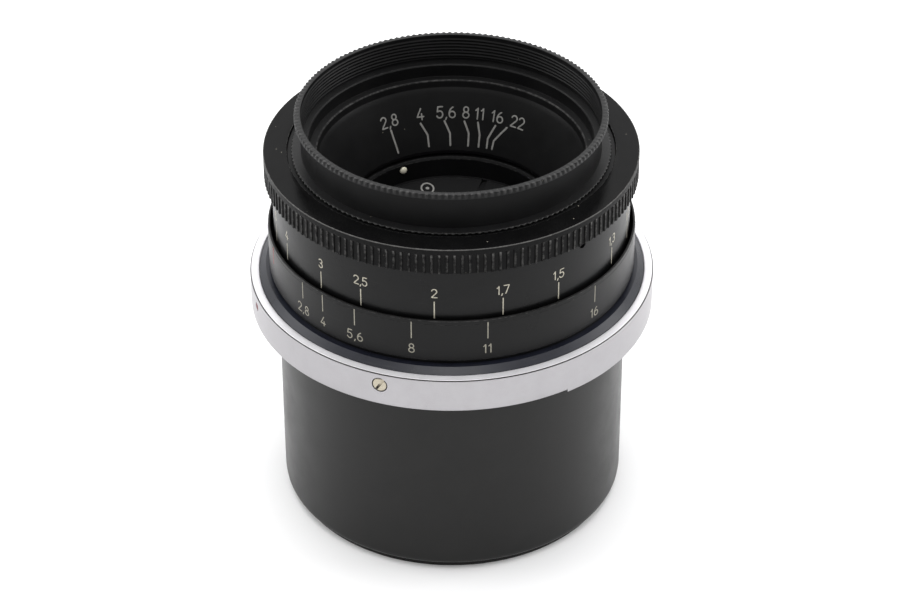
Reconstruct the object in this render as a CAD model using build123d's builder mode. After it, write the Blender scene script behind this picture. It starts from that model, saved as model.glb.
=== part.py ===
from build123d import *
import math
import os

# Wide-angle rangefinder lens, standing nose up on its deep rear cap.
# Millimetres. +Z is the optical axis towards the subject, z = 0 is the cap's foot.
# Azimuths run from -Y towards +X (anticlockwise from above), in degrees; the red
# alignment dot stands close to azimuth 0.
# Name endings: _r radius, _bore inner radius, _z height, _a azimuth, _deg angular width.
# The endings 0 and 1 mark the lower and upper end of a range.

os.makedirs("parts", exist_ok=True)

# ---------------------------------------------------------------- shared dimensions
cut_past = 1.0  # how far a cutter runs past the lower face it opens

# bayonet band
band_r, band_bore = 28.0, 26.0
band_z0, band_z1 = 30.66, 35.5
band_rim = 0.2  # width of the thin rim that stands around the collar ring
seat_z = 34.95
bayonet_a = 109.0  # centre of the first cap lug; the band's lugs lie halfway between
mount_screw_a, mount_screw_z = 53.35, 33.8
mount_head_r, mount_shank_r = 1.02, 0.7
mount_seat_r = 26.95  # distance from the axis to the bottom of the screw seats
dot_a, dot_z, dot_floor_r = 0.8, 33.9, 27.4
# catch
catch_a0, catch_a1, pad_a1 = 209.5, 247.0, 220.0
catch_r0, catch_r1, catch_z0, catch_z1 = 26.45, 27.0, 31.05, 32.9
catch_pivot_a, catch_pivot_r = 229.0, 26.75
pocket_r, pocket_top_z = 27.65, catch_z1 + 0.15
# helicoid housing
tail_z0 = 26.0  # lower end of the housing and of the head barrel
sleeve_bore = 21.2
base_z = 36.3
helicoid_r = 23.2
stop_a, stop_z, stop_screw_r = 20.0, 28.7, 0.6
# focus ring and head barrel
set_screw_a, set_screw_z, set_hole_r = 118.2, 50.05, 0.6
head_r, head_web_z = 22.2, 28.3
# coupling sleeve
coupling_bore, coupling_r, coupling_z0 = 19.85, 21.14, 25.4
neck_r, neck_z = 20.5, 27.05
stop_groove_r = 20.3
key_a, key_z = 250.0, 31.5
key_width, key_height = 3.0, 3.0
key_inner_r = 18.9
key_hole_r, key_screw_r = 0.53, 0.5
# aperture ring and its sleeve
seat_r, seat_z0 = 20.25, 53.1
ap_sleeve_r, ap_sleeve_bore = 18.5, 17.15
ap_sleeve_z0, ap_sleeve_z1 = 29.5, 50.0
aperture_turn = 54.8
# optical barrel
barrel_tail_r, barrel_mouth = 15.9, 14.0
drive_a, drive_z, drive_r = -150.0, 30.4, 0.6
index_a, index_z, index_r = -77.8, 42.75, 0.55
# iris
open_r, closed_r = 5.6, 0.7127
pivot_r, blade_count = 10.4, 5
blade_turn = 2 * math.degrees(math.asin((open_r - closed_r) / 2 / pivot_r))
iris_base_z0, iris_base_z1 = 24.6, 25.4
cam_z0, cam_z1 = 26.3, 27.0
pin_offset_deg, pivot_pin_r, drive_pin_r = 14.0, 0.45, 0.35


# ---------------------------------------------------------------- helpers
def point_at(azimuth, radius):
    """XY position at an azimuth and radius."""
    angle = math.radians(azimuth)
    return radius * math.sin(angle), -radius * math.cos(angle)


def turned_about(point, centre, degrees):
    """Point turned about a centre, anticlockwise from above."""
    angle = math.radians(degrees)
    x, y = point[0] - centre[0], point[1] - centre[1]
    return (centre[0] + x * math.cos(angle) - y * math.sin(angle),
            centre[1] + x * math.sin(angle) + y * math.cos(angle))


def spaced(first, count):
    """Azimuths of count features spaced evenly around the axis."""
    return [first + 360.0 / count * k for k in range(count)]


def radial_plane(azimuth, z, radius):
    """Plane facing outwards; its x runs around the axis and its y runs up."""
    x, y = point_at(azimuth, 1.0)
    return Plane(origin=(x * radius, y * radius, z), x_dir=(-y, x, 0), z_dir=(x, y, 0))


def sector_edges(a0, a1, r0, r1):
    """Outline of an annular sector, drawn into the open BuildLine."""
    outer = CenterArc((0, 0), r1, a0 - 90, a1 - a0)
    inner = CenterArc((0, 0), r0, a0 - 90, a1 - a0)
    Line(outer @ 0, inner @ 0)
    Line(outer @ 1, inner @ 1)


def turned(*profile):
    """Solid of revolution from a closed profile of (radius, z) points."""
    with BuildPart() as solid:
        with BuildSketch(Plane.XZ):
            with BuildLine():
                Polyline(*profile, close=True)
            make_face()
        revolve(axis=Axis.Z)
    return solid.part


def tube(bore, radius, z0, z1):
    """Plain ring about the axis."""
    with BuildPart() as solid:
        with BuildSketch(Plane.XY.offset(z0)):
            Circle(radius)
            Circle(bore, mode=Mode.SUBTRACT)
        extrude(amount=z1 - z0)
    return solid.part


def sector_block(a0, a1, r0, r1, z0, z1):
    """Annular sector between two heights."""
    with BuildPart() as solid:
        with BuildSketch(Plane.XY.offset(z0)):
            with BuildLine():
                sector_edges(a0, a1, r0, r1)
            make_face()
        extrude(amount=z1 - z0)
    return solid.part


def axial_rod(azimuth, distance, z0, z1, rod_r):
    """Rod parallel to the axis, at a distance from it."""
    with BuildPart() as solid:
        with BuildSketch(Plane.XY.offset(z0)):
            with Locations(point_at(azimuth, distance)):
                Circle(rod_r)
        extrude(amount=z1 - z0)
    return solid.part


def radial_rod(azimuth, z, r0, r1, rod_r):
    """Rod pointing outwards, from distance r0 to r1 from the axis."""
    with BuildPart() as solid:
        with BuildSketch(radial_plane(azimuth, z, r0)):
            Circle(rod_r)
        extrude(amount=r1 - r0)
    return solid.part


def radial_block(azimuth, z, r0, r1, width, height, rotation=0):
    """Rectangular bar pointing outwards, from distance r0 to r1 from the axis."""
    with BuildPart() as solid:
        with BuildSketch(radial_plane(azimuth, z, r0)):
            Rectangle(width, height, rotation=rotation)
        extrude(amount=r1 - r0)
    return solid.part


def slotted_screw(azimuth, z, r0, r1, screw_r, slot_depth, slot_width=0.25):
    """Headless radial screw with an upright driver slot in its outer end."""
    slot_floor = r1 - slot_depth
    with BuildPart() as screw:
        add(radial_rod(azimuth, z, r0, r1, screw_r))
        add(radial_block(azimuth, z, slot_floor, slot_floor + 1, slot_width, 2.0),
            mode=Mode.SUBTRACT)
    return screw.part


def save(name, part):
    part.label = name
    export_step(part, "parts/%s.step" % name)


# ================================================================ rear cap
cap_r, cap_wall, cap_floor, cap_top = 24.2, 1.6, 1.8, 32.0
cap_bore = cap_r - cap_wall
foot_step_r, foot_step_z = 23.2, 0.95
cap_lug_r, cap_lug_z0, cap_lug_z1, cap_lug_deg = 25.8, 31.8, 32.5, 38.0
cap_lug_root = 0.8  # how deep the lugs reach into the wall

with BuildPart() as rear_cap:
    add(turned(
        (0, 0), (foot_step_r - 0.1, 0), (foot_step_r, 0.1), (foot_step_r, foot_step_z),
        (cap_r - 0.55, foot_step_z + 0.15), (cap_r - 0.15, foot_step_z + 0.5),
        (cap_r, foot_step_z + 1.05), (cap_r, cap_top), (cap_bore, cap_top),
        (cap_bore, cap_floor + 1.0), (cap_bore - 1.0, cap_floor), (0, cap_floor)))
    for centre in spaced(bayonet_a, 3):
        add(sector_block(centre - cap_lug_deg / 2, centre + cap_lug_deg / 2,
                         cap_r - cap_lug_root, cap_lug_r, cap_lug_z0, cap_lug_z1))
save("rear_cap", rear_cap.part)

# ================================================================ bayonet band
skirt_drop, skirt_a0, skirt_a1 = 0.4, 106.9, 253.1
ring_lug_r, ring_lug_z0, ring_lug_z1, ring_lug_deg = 24.4, 30.9, 31.7, 58.0
lap = 0.4  # overlap of the skirt and the lugs with the band
rim_bore = band_r - band_rim
pocket_a0, pocket_end_gap, window_end_gap = catch_a0 - 0.7, 1.2, 0.7

with BuildPart() as bayonet_ring:
    add(turned(
        (band_bore, band_z0), (band_r, band_z0), (band_r, band_z1 - 0.1),
        (band_r - 0.1, band_z1), (rim_bore, band_z1), (rim_bore, seat_z), (band_bore, seat_z)))
    # lower skirt on the +Y side
    add(sector_block(skirt_a0, skirt_a1, band_bore, band_r, band_z0 - skirt_drop, band_z0 + lap))
    # inward bayonet lugs
    for centre in spaced(bayonet_a + 60, 3):
        add(sector_block(centre - ring_lug_deg / 2, centre + ring_lug_deg / 2,
                         ring_lug_r, band_bore + lap, ring_lug_z0, ring_lug_z1))
    # pocket for the rocking catch, open to the bore and below
    add(sector_block(pocket_a0, catch_a1 + pocket_end_gap, band_bore - 0.5, pocket_r,
                     band_z0 - cut_past, pocket_top_z), mode=Mode.SUBTRACT)
    # window through the band for the catch's pad
    add(sector_block(pocket_a0, pad_a1 + window_end_gap, band_bore - 0.5, band_r + 0.5,
                     band_z0 - cut_past, pocket_top_z), mode=Mode.SUBTRACT)
    # catch pin hole
    add(axial_rod(catch_pivot_a, catch_pivot_r, catch_z1, catch_z1 + 1.6, 0.33),
        mode=Mode.SUBTRACT)
    # three stepped holes for the mount screws
    for azimuth in spaced(mount_screw_a, 3):
        add(radial_rod(azimuth, mount_screw_z, 24.0, 30.0, mount_shank_r + 0.05),
            mode=Mode.SUBTRACT)
        add(radial_rod(azimuth, mount_screw_z, mount_seat_r, mount_seat_r + 3,
                       mount_head_r + 0.03), mode=Mode.SUBTRACT)
    # seat of the red dot
    add(radial_rod(dot_a, dot_z, dot_floor_r, dot_floor_r + 2, 0.6), mode=Mode.SUBTRACT)
save("bayonet_ring", bayonet_ring.part)

collar_bore, collar_r, collar_z1 = 26.7, rim_bore - 0.02, 35.6
save("collar_ring", turned(
    (collar_bore, seat_z), (collar_r, seat_z), (collar_r, collar_z1 - 0.06),
    (collar_r - 0.06, collar_z1), (collar_bore, collar_z1)))

save("red_index_dot", radial_rod(dot_a, dot_z, dot_floor_r + 0.02, band_r - 0.01, 0.57))

mount_tip_r, mount_head_r0, mount_head_r1 = 24.6, mount_seat_r + 0.02, 27.93
mount_slot_r, mount_slot_width, mount_slot_tilt = 27.5, 0.36, -25
with BuildPart() as mount_screws:
    for azimuth in spaced(mount_screw_a, 3):
        add(radial_rod(azimuth, mount_screw_z, mount_tip_r, mount_head_r0, mount_shank_r))
        add(radial_rod(azimuth, mount_screw_z, mount_head_r0, mount_head_r1, mount_head_r))
        add(radial_block(azimuth, mount_screw_z, mount_slot_r, mount_slot_r + 1,
                         mount_slot_width, 3.0, rotation=mount_slot_tilt), mode=Mode.SUBTRACT)
save("mount_screws", mount_screws.part)

# ================================================================ bayonet catch
# a curved bar with an outward pad at one end, an inward nose at the other, and a pivot eye
pad_r, nose_r, nose_deg = band_r - 0.08, 25.95, 3.5
eye_r, eye_bore = 0.62, 0.36

with BuildPart() as lock_catch:
    with BuildSketch(Plane.XY.offset(catch_z0)):
        with BuildLine():
            sector_edges(catch_a0, catch_a1, catch_r0, catch_r1)
        make_face()
        with BuildLine():
            sector_edges(catch_a0, pad_a1, catch_r0, pad_r)
        make_face()
        with BuildLine():
            sector_edges(catch_a1 - nose_deg, catch_a1, nose_r, catch_r1)
        make_face()
        with Locations(point_at(catch_pivot_a, catch_pivot_r)):
            Circle(eye_r)
        with Locations(point_at(catch_pivot_a, catch_pivot_r)):
            Circle(eye_bore, mode=Mode.SUBTRACT)
    extrude(amount=catch_z1 - catch_z0)
save("lock_catch", lock_catch.part)

save("catch_pin", axial_rod(catch_pivot_a, catch_pivot_r, catch_z0 + 0.05, catch_z1 + 1.4, 0.3))

# leaf spring of the catch, lying on the pocket's outer wall beside the pivot
spring_z0, spring_height = catch_z0 + 0.4, 1.0
save("catch_spring", sector_block(catch_pivot_a + 6, catch_a1 - 0.5, 27.5, pocket_r - 0.02,
                                  spring_z0, spring_z0 + spring_height))

# ================================================================ helicoid housing
flange_r, flange_z0 = 25.95, 32.7
shoulder_r, shoulder_z1, base_r = 26.65, 35.62, 25.77
low_tube_r = 22.4
web_z0, web_z1, web_bore = 34.3, 35.0, 19.85
helicoid_bore, helicoid_top = 22.28, 46.5

with BuildPart() as helicoid_housing:
    add(turned(
        (sleeve_bore, tail_z0), (low_tube_r, tail_z0), (low_tube_r, flange_z0),
        (flange_r, flange_z0), (flange_r, seat_z), (shoulder_r, seat_z),
        (shoulder_r, shoulder_z1), (base_r, base_z), (helicoid_r, base_z),
        (helicoid_r, helicoid_top - 0.3), (helicoid_r - 0.3, helicoid_top),
        (helicoid_bore, helicoid_top), (helicoid_bore, web_z1), (web_bore, web_z1),
        (web_bore, web_z0), (sleeve_bore, web_z0)))
    for azimuth in spaced(mount_screw_a, 3):
        add(radial_rod(azimuth, mount_screw_z, 24.4, 27.4, mount_shank_r + 0.03),
            mode=Mode.SUBTRACT)
    add(radial_rod(stop_a, stop_z, 20.9, 23.1, stop_screw_r + 0.03), mode=Mode.SUBTRACT)
save("helicoid_housing", helicoid_housing.part)

save("focus_stop_screw", slotted_screw(stop_a, stop_z, stop_groove_r + 0.12, 22.3,
                                       stop_screw_r, slot_depth=0.35))

# ring around the coupling sleeve's neck, with two notches in its lower face
retainer_bore, retainer_r = neck_r + 0.06, sleeve_bore - 0.04
retainer_z0, retainer_z1 = tail_z0 + 0.05, neck_z - 0.05
with BuildPart() as sleeve_retaining_ring:
    add(turned((retainer_bore, retainer_z0), (retainer_r, retainer_z0),
               (retainer_r, retainer_z1), (retainer_bore, retainer_z1)))
    for azimuth in spaced(90, 2):
        add(radial_block(azimuth, tail_z0, 20.0, 21.4, width=1.0, height=0.6),
            mode=Mode.SUBTRACT)
save("sleeve_retaining_ring", sleeve_retaining_ring.part)

dof_r, dof_bore, dof_lip_bore = 25.27, 24.62, 24.9
dof_foot_r, dof_foot_bore, dof_web_z = 24.9, helicoid_r + 0.05, 37.5
dof_z0, dof_z1 = 36.9, 43.05
save("dof_scale_ring", turned(
    (dof_foot_bore, base_z), (dof_foot_r, base_z), (dof_foot_r, dof_z0), (dof_r, dof_z0),
    (dof_r, dof_z1), (dof_r - 0.14, dof_z1 + 0.2), (dof_lip_bore, dof_z1 + 0.2),
    (dof_lip_bore, dof_z1 - 1.1), (dof_bore, dof_z1 - 1.4), (dof_bore, dof_web_z),
    (dof_foot_bore, dof_web_z)))

# ================================================================ coupling sleeve
coupling_top = 34.25
tab_a, tab_z0, tab_deg = 140, 23.4, 22.0
turn_min, turn_max, turn_spare = -192.8, 48.1, 2.4
stop_groove_half = stop_screw_r + 0.15

with BuildPart() as coupling_sleeve:
    add(turned(
        (coupling_bore, coupling_z0), (neck_r, coupling_z0), (neck_r, neck_z),
        (coupling_r, neck_z), (coupling_r, coupling_top), (coupling_bore, coupling_top)))
    # two tabs below the neck
    for centre in spaced(tab_a, 2):
        add(sector_block(centre - tab_deg / 2, centre + tab_deg / 2, coupling_bore + 0.02,
                         neck_r - 0.02, tab_z0, coupling_z0 + 0.3))
    # stop groove, as long as the focus turn
    add(sector_block(stop_a - turn_max - turn_spare, stop_a - turn_min + turn_spare,
                     stop_groove_r, coupling_r + 0.5,
                     stop_z - stop_groove_half, stop_z + stop_groove_half), mode=Mode.SUBTRACT)
    for azimuth in spaced(key_a, 2):
        add(radial_rod(azimuth, key_z, 19.0, 22.0, key_hole_r), mode=Mode.SUBTRACT)
save("coupling_sleeve", coupling_sleeve.part)

with BuildPart() as drive_keys:
    for azimuth in spaced(key_a, 2):
        add(radial_block(azimuth, key_z, key_inner_r, 19.72, key_width, key_height))
        add(radial_rod(azimuth, key_z, 18.0, 21.0, key_hole_r), mode=Mode.SUBTRACT)
save("drive_keys", drive_keys.part)

with BuildPart() as key_screws:
    for azimuth in spaced(key_a, 2):
        add(slotted_screw(azimuth, key_z, key_inner_r + 0.05, 20.95, key_screw_r,
                          slot_depth=0.3, slot_width=0.22))
save("key_screws", key_screws.part)

# ================================================================ head barrel
head_bore, head_top, head_step_z = 18.7, 54.2, 35.5
tail_r, head_web_bore = 19.7, 16.0
head_seat_r, head_seat_z = seat_r + 0.1, seat_z0 - 0.15
keyway_height = 5.8

with BuildPart() as head_barrel:
    add(turned(
        (head_web_bore, tail_z0), (tail_r, tail_z0), (tail_r, head_step_z),
        (head_r, head_step_z), (head_r, head_top), (head_seat_r, head_top),
        (head_seat_r, head_seat_z), (head_bore, head_seat_z), (head_bore, head_web_z),
        (head_web_bore, head_web_z)))
    # keyways
    for azimuth in spaced(key_a, 2):
        add(radial_block(azimuth, key_z, 17.9, 20.2, key_width + 0.12, keyway_height),
            mode=Mode.SUBTRACT)
save("head_barrel", head_barrel.part)

# ================================================================ focus ring
scale_r, skirt_bore, skirt_z0 = 24.45, 23.4, 38.2
grip_r, grip_root_r, grip_z0, grip_z1 = 25.48, 25.1, 50.94, 54.62
grip_teeth, grip_band_z = 160, 53.85
grip_core_r, grip_bore = grip_root_r - 0.1, scale_r - 0.2
focus_bore, focus_step_z = head_r + 0.05, 47.5
tooth_crest_r = grip_r - 0.02
# one tooth of the grip: (fraction of the tooth pitch, radius)
tooth = ((0.0, tooth_crest_r), (0.2, tooth_crest_r), (0.34, grip_root_r), (0.86, grip_root_r))
grip_outline = [point_at((i + fraction - 0.1) * 360.0 / grip_teeth, radius)
                for i in range(grip_teeth) for fraction, radius in tooth]

with BuildPart() as focus_ring:
    add(turned(
        (skirt_bore, skirt_z0), (scale_r, skirt_z0), (scale_r, grip_z0 + 0.1),
        (grip_core_r, grip_z0 + 0.1), (grip_core_r, grip_z1), (focus_bore, grip_z1),
        (focus_bore, focus_step_z), (skirt_bore, focus_step_z)))
    # toothed grip
    with BuildSketch(Plane.XY.offset(grip_z0)):
        with BuildLine():
            Polyline(*grip_outline, close=True)
        make_face()
        Circle(grip_bore, mode=Mode.SUBTRACT)
    extrude(amount=grip_band_z - grip_z0)
    # plain band above the teeth
    add(tube(grip_bore, grip_r, grip_band_z - 0.05, grip_z1))
    for azimuth in spaced(set_screw_a, 3):
        add(radial_rod(azimuth, set_screw_z, 21.5, 26.5, set_hole_r), mode=Mode.SUBTRACT)
save("focus_ring", focus_ring.part)

with BuildPart() as focus_set_screws:
    for azimuth in spaced(set_screw_a, 3):
        add(slotted_screw(azimuth, set_screw_z, head_r + 0.08, head_r + 1.58,
                          set_hole_r - 0.03, slot_depth=0.38))
save("focus_set_screws", focus_set_screws.part)

# ================================================================ optical barrel
barrel_r, barrel_z0, barrel_z1 = 17.0, 19.5, 43.85
barrel_bore, barrel_mouth_z = 13.85, 40.75
tail_bore, iris_seat_bore, iris_seat_z = 13.45, 12.0, 22.0
drive_slot_half, drive_slot_spare = drive_r + 0.1, 3.2

with BuildPart() as optical_barrel:
    add(turned(
        (tail_bore, barrel_z0), (barrel_tail_r, barrel_z0), (barrel_tail_r, head_web_z),
        (barrel_r, head_web_z), (barrel_r, barrel_z1), (barrel_mouth + 0.15, barrel_z1),
        (barrel_mouth, barrel_z1 - 0.15), (barrel_mouth, barrel_mouth_z),
        (barrel_bore, barrel_mouth_z), (barrel_bore, iris_base_z0),
        (iris_seat_bore, iris_base_z0), (iris_seat_bore, iris_seat_z),
        (tail_bore, iris_seat_z)))
    # slot for the aperture drive screw
    add(sector_block(drive_a - drive_slot_spare, drive_a + aperture_turn + drive_slot_spare,
                     13.0, 18.0, drive_z - drive_slot_half, drive_z + drive_slot_half),
        mode=Mode.SUBTRACT)
    # seat of the index dot, in the bore
    add(radial_rod(index_a, index_z, 13.5, 14.45, index_r + 0.02), mode=Mode.SUBTRACT)
save("optical_barrel", optical_barrel.part)

save("index_dot", radial_rod(index_a, index_z, barrel_mouth - 0.02, barrel_mouth + 0.38, index_r))

lock_bore, lock_r, lock_z0 = barrel_tail_r + 0.05, 18.4, 24.4
with BuildPart() as barrel_lock_ring:
    add(turned((lock_bore, lock_z0), (lock_r, lock_z0), (lock_r, tail_z0), (lock_bore, tail_z0)))
    # notches across the lower face
    for azimuth in spaced(50, 2):
        add(radial_block(azimuth, lock_z0, 15.0, 19.0, width=1.4, height=1.2),
            mode=Mode.SUBTRACT)
save("barrel_lock_ring", barrel_lock_ring.part)

# ================================================================ lens cells
# all profiles are (radius, z)
save("front_cell", turned(
    (7.0, 27.3), (12.6, 27.3), (12.6, 32.0), (13.8, 32.0), (13.8, 39.2), (10.65, 39.2),
    (10.65, 32.2), (8.65, 32.2), (8.65, 27.85), (7.0, 27.85)))

save("front_spacer", turned(
    (8.0, 32.2), (8.6, 31.9), (8.6, 32.22), (10.6, 32.22), (10.6, 33.15), (8.0, 33.35)))

name_ring_top = 40.6
with BuildPart() as name_ring:
    add(turned(
        (9.95, 36.5), (10.6, 36.5), (10.6, 39.22), (13.75, 39.22), (13.75, name_ring_top),
        (13.3, name_ring_top), (13.1, 40.42), (9.95, 39.6)))
    # notches in the front face
    for azimuth in spaced(-127, 2):
        add(radial_block(azimuth, name_ring_top, 11.4, 14.4, width=0.8, height=1.0),
            mode=Mode.SUBTRACT)
save("name_ring", name_ring.part)

save("rear_cell", turned(
    (11.86, 5.95), (13.4, 5.95), (13.4, 21.95), (11.95, 21.95), (11.95, 24.45), (7.25, 24.45),
    (7.25, 18.08), (6.9, 17.82), (6.9, 17.3), (10.9, 17.3), (10.9, 16.75), (11.86, 16.75)))

save("doublet_retainer", turned((6.3, 23.72), (7.2, 23.66), (7.2, 24.4), (6.3, 24.4)))

save("rear_retainer", turned(
    (11.0, 8.0), (11.82, 8.0), (11.82, 11.3), (11.6, 11.2), (11.0, 10.6)))


# ================================================================ glass
def surface_z(vertex_z, curvature_r, radius):
    """Height of a spherical surface; a positive curvature radius bulges to the front."""
    drop = abs(curvature_r) - math.sqrt(curvature_r * curvature_r - radius * radius)
    return vertex_z - math.copysign(drop, curvature_r)


def lens(front_z, front_curve, front_semi, rear_z, rear_curve, rear_semi, outer_r):
    """Lens with a flat rim wherever a surface is narrower than the glass."""
    front_edge = surface_z(front_z, front_curve, front_semi)
    rear_edge = surface_z(rear_z, rear_curve, rear_semi)
    front_mid = (front_semi / 2, surface_z(front_z, front_curve, front_semi / 2))
    rear_mid = (rear_semi / 2, surface_z(rear_z, rear_curve, rear_semi / 2))
    with BuildPart() as element:
        with BuildSketch(Plane.XZ):
            with BuildLine():
                ThreePointArc((0, front_z), front_mid, (front_semi, front_edge))
                if outer_r > front_semi:
                    Line((front_semi, front_edge), (outer_r, front_edge))
                Line((outer_r, front_edge), (outer_r, rear_edge))
                if outer_r > rear_semi:
                    Line((outer_r, rear_edge), (rear_semi, rear_edge))
                ThreePointArc((rear_semi, rear_edge), rear_mid, (0, rear_z))
                Line((0, rear_z), (0, front_z))
            make_face()
        revolve(axis=Axis.Z)
    return element.part


# front to rear: front vertex z, curvature radius, semi-diameter; the same for the rear
# surface; outer radius
glass = [
    (39.4, 17.5, 10.6, 34.9, 34.0, 10.6, 10.6),
    (34.0, 18.0, 8.6, 31.01, 60.0, 8.6, 8.6),
    (30.99, 60.0, 8.6, 30.2, 10.5, 6.6, 8.6),
    (23.9, 80.0, 7.2, 22.01, 11.0, 7.2, 7.2),
    (21.99, 11.0, 7.2, 15.6, -11.5, 7.2, 7.2),
    (11.6, -9.8, 8.6, 6.4, -16.0, 11.8, 11.8),
]
for number, sizes in enumerate(glass, start=1):
    save("lens_%d" % number, lens(*sizes))

# ================================================================ iris base
with BuildPart() as iris_base:
    add(tube(open_r + 0.15, 13.8, iris_base_z0, iris_base_z1))
    # pivot holes
    for azimuth in spaced(0, blade_count):
        add(axial_rod(azimuth, pivot_r, iris_base_z1 - 0.65, iris_base_z1, pivot_pin_r + 0.05),
            mode=Mode.SUBTRACT)
save("iris_base", iris_base.part)

# ================================================================ iris cam ring
cam_slot_half = drive_pin_r + 0.08
cam_r, cam_bore, cam_wall_bore, cam_wall_top = 13.75, 7.2, 12.95, 31.4


def cam_slot(steps=28, cap_steps=8):
    """Slot outline around the path of a blade's driving pin, seen from the cam ring."""
    path = []
    for i in range(-1, steps + 2):  # one extra point at each end, for the end directions
        pin = turned_about(point_at(pin_offset_deg, pivot_r), point_at(0, pivot_r),
                           blade_turn * i / steps)
        path.append(turned_about(pin, (0, 0), -aperture_turn * i / steps))
    left, right = [], []
    for before, (x, y), after in zip(path, path[1:], path[2:]):
        dx, dy = after[0] - before[0], after[1] - before[1]
        length = math.hypot(dx, dy)
        side_x, side_y = -dy / length * cam_slot_half, dx / length * cam_slot_half
        left.append((x + side_x, y + side_y))
        right.append((x - side_x, y - side_y))

    def round_cap(centre, start):
        return [turned_about(start, centre, -180 * j / cap_steps) for j in range(1, cap_steps)]

    return left + round_cap(path[-2], left[-1]) + right[::-1] + round_cap(path[1], right[0])


slot_outline = cam_slot()
with BuildPart() as iris_cam_ring:
    add(tube(cam_bore, cam_r, cam_z0, cam_z1))
    add(tube(cam_wall_bore, cam_r, cam_z0, cam_wall_top))
    for azimuth in spaced(0, blade_count):
        with BuildSketch(Plane.XY.offset(cam_z0 - 0.5)):
            with BuildLine():
                Polyline(*[turned_about(p, (0, 0), azimuth) for p in slot_outline], close=True)
            make_face()
        extrude(amount=2, mode=Mode.SUBTRACT)
    add(radial_rod(drive_a, drive_z, 12.0, 15.0, drive_r + 0.02), mode=Mode.SUBTRACT)
save("iris_cam_ring", iris_cam_ring.part)

# ================================================================ iris blades
blade_r, blade_span = 9.4, 124.0
blade_thickness, blade_pitch, blade_z = 0.12, 0.14, 25.5

for k, azimuth in enumerate(spaced(0, blade_count)):
    z0 = blade_z + blade_pitch * k
    middle_z = z0 + blade_thickness / 2
    with BuildPart() as blade:
        with BuildSketch(Plane.XY.offset(z0)):
            with BuildLine():
                sector_edges(azimuth - 4, azimuth + blade_span, open_r, blade_r)
            make_face()
            # ear that carries both pins
            with BuildLine():
                sector_edges(azimuth - 4.5, azimuth + pin_offset_deg + 4,
                             blade_r - 0.6, pivot_r + 0.75)
            make_face()
        extrude(amount=blade_thickness)
        # pivot pin below, driving pin above
        add(axial_rod(azimuth, pivot_r, iris_base_z1 - 0.55, middle_z, pivot_pin_r))
        add(axial_rod(azimuth + pin_offset_deg, pivot_r, middle_z, cam_z1 - 0.1, drive_pin_r))
    save("iris_blade_%d" % (k + 1), blade.part)

# ================================================================ aperture ring (the bowl)
bowl_r, foot_r, foot_z0, foot_z1 = 20.95, 21.35, 54.35, 55.0
bevel_r, bevel_z, rim_r, rim_z = 21.14, 59.7, 20.85, 60.15
thread_r, thread_z0 = 20.25, 56.05
step_r1, step_z1, step_r2, step_z2 = 19.28, 54.0, 18.22, 52.4
cone_r0, cone_z0, cone_r1 = 14.4, 44.8, 17.6
joint_z = 48.4

save("aperture_ring", turned(
    (cone_r0, cone_z0), (cone_r0, 44.3), (cone_r0 + 0.9, 44.1), (17.1, joint_z),
    (17.68, joint_z), (17.68, ap_sleeve_z1), (ap_sleeve_r, ap_sleeve_z1),
    (ap_sleeve_r, seat_z0), (seat_r, seat_z0), (seat_r, foot_z0), (foot_r, foot_z0),
    (foot_r, foot_z1), (bowl_r, foot_z1 + 0.1), (bowl_r, bevel_z - 0.25),
    (bevel_r, bevel_z - 0.2), (bevel_r, bevel_z), (rim_r, rim_z), (thread_r, rim_z),
    (thread_r, thread_z0), (step_r1, thread_z0 - 0.15), (step_r1, step_z1),
    (step_r2, step_z1), (step_r2 - 0.2, step_z2 + 0.1), (cone_r1, step_z2)))

sleeve_lip_bore, sleeve_lip_z0, sleeve_lip_z1 = 17.72, joint_z - 0.05, ap_sleeve_z1 - 0.02
with BuildPart() as aperture_sleeve:
    add(turned(
        (ap_sleeve_bore, ap_sleeve_z0), (ap_sleeve_r, ap_sleeve_z0),
        (ap_sleeve_r, sleeve_lip_z1), (sleeve_lip_bore, sleeve_lip_z1),
        (sleeve_lip_bore, sleeve_lip_z0), (ap_sleeve_bore, sleeve_lip_z0)))
    add(radial_rod(drive_a, drive_z, 16.0, 20.0, drive_r + 0.02), mode=Mode.SUBTRACT)
save("aperture_sleeve", aperture_sleeve.part)

save("cam_drive_screw", slotted_screw(drive_a, drive_z, 13.0, ap_sleeve_r - 0.1, drive_r,
                                      slot_depth=0.3))
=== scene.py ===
"""A small photographic lens standing on its rear cap, dressed on its CAD frame.

The optical axis is Z and the front of the lens faces up (+Z). Azimuths are degrees round that
axis, 0 at -Y and growing towards +X. Sizes are in mm unless noted; meshes are stored in metres.
"""
import math
import random
from functools import cached_property

import bmesh
import bpy
import numpy as np
from mathutils import Matrix, Vector


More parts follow.
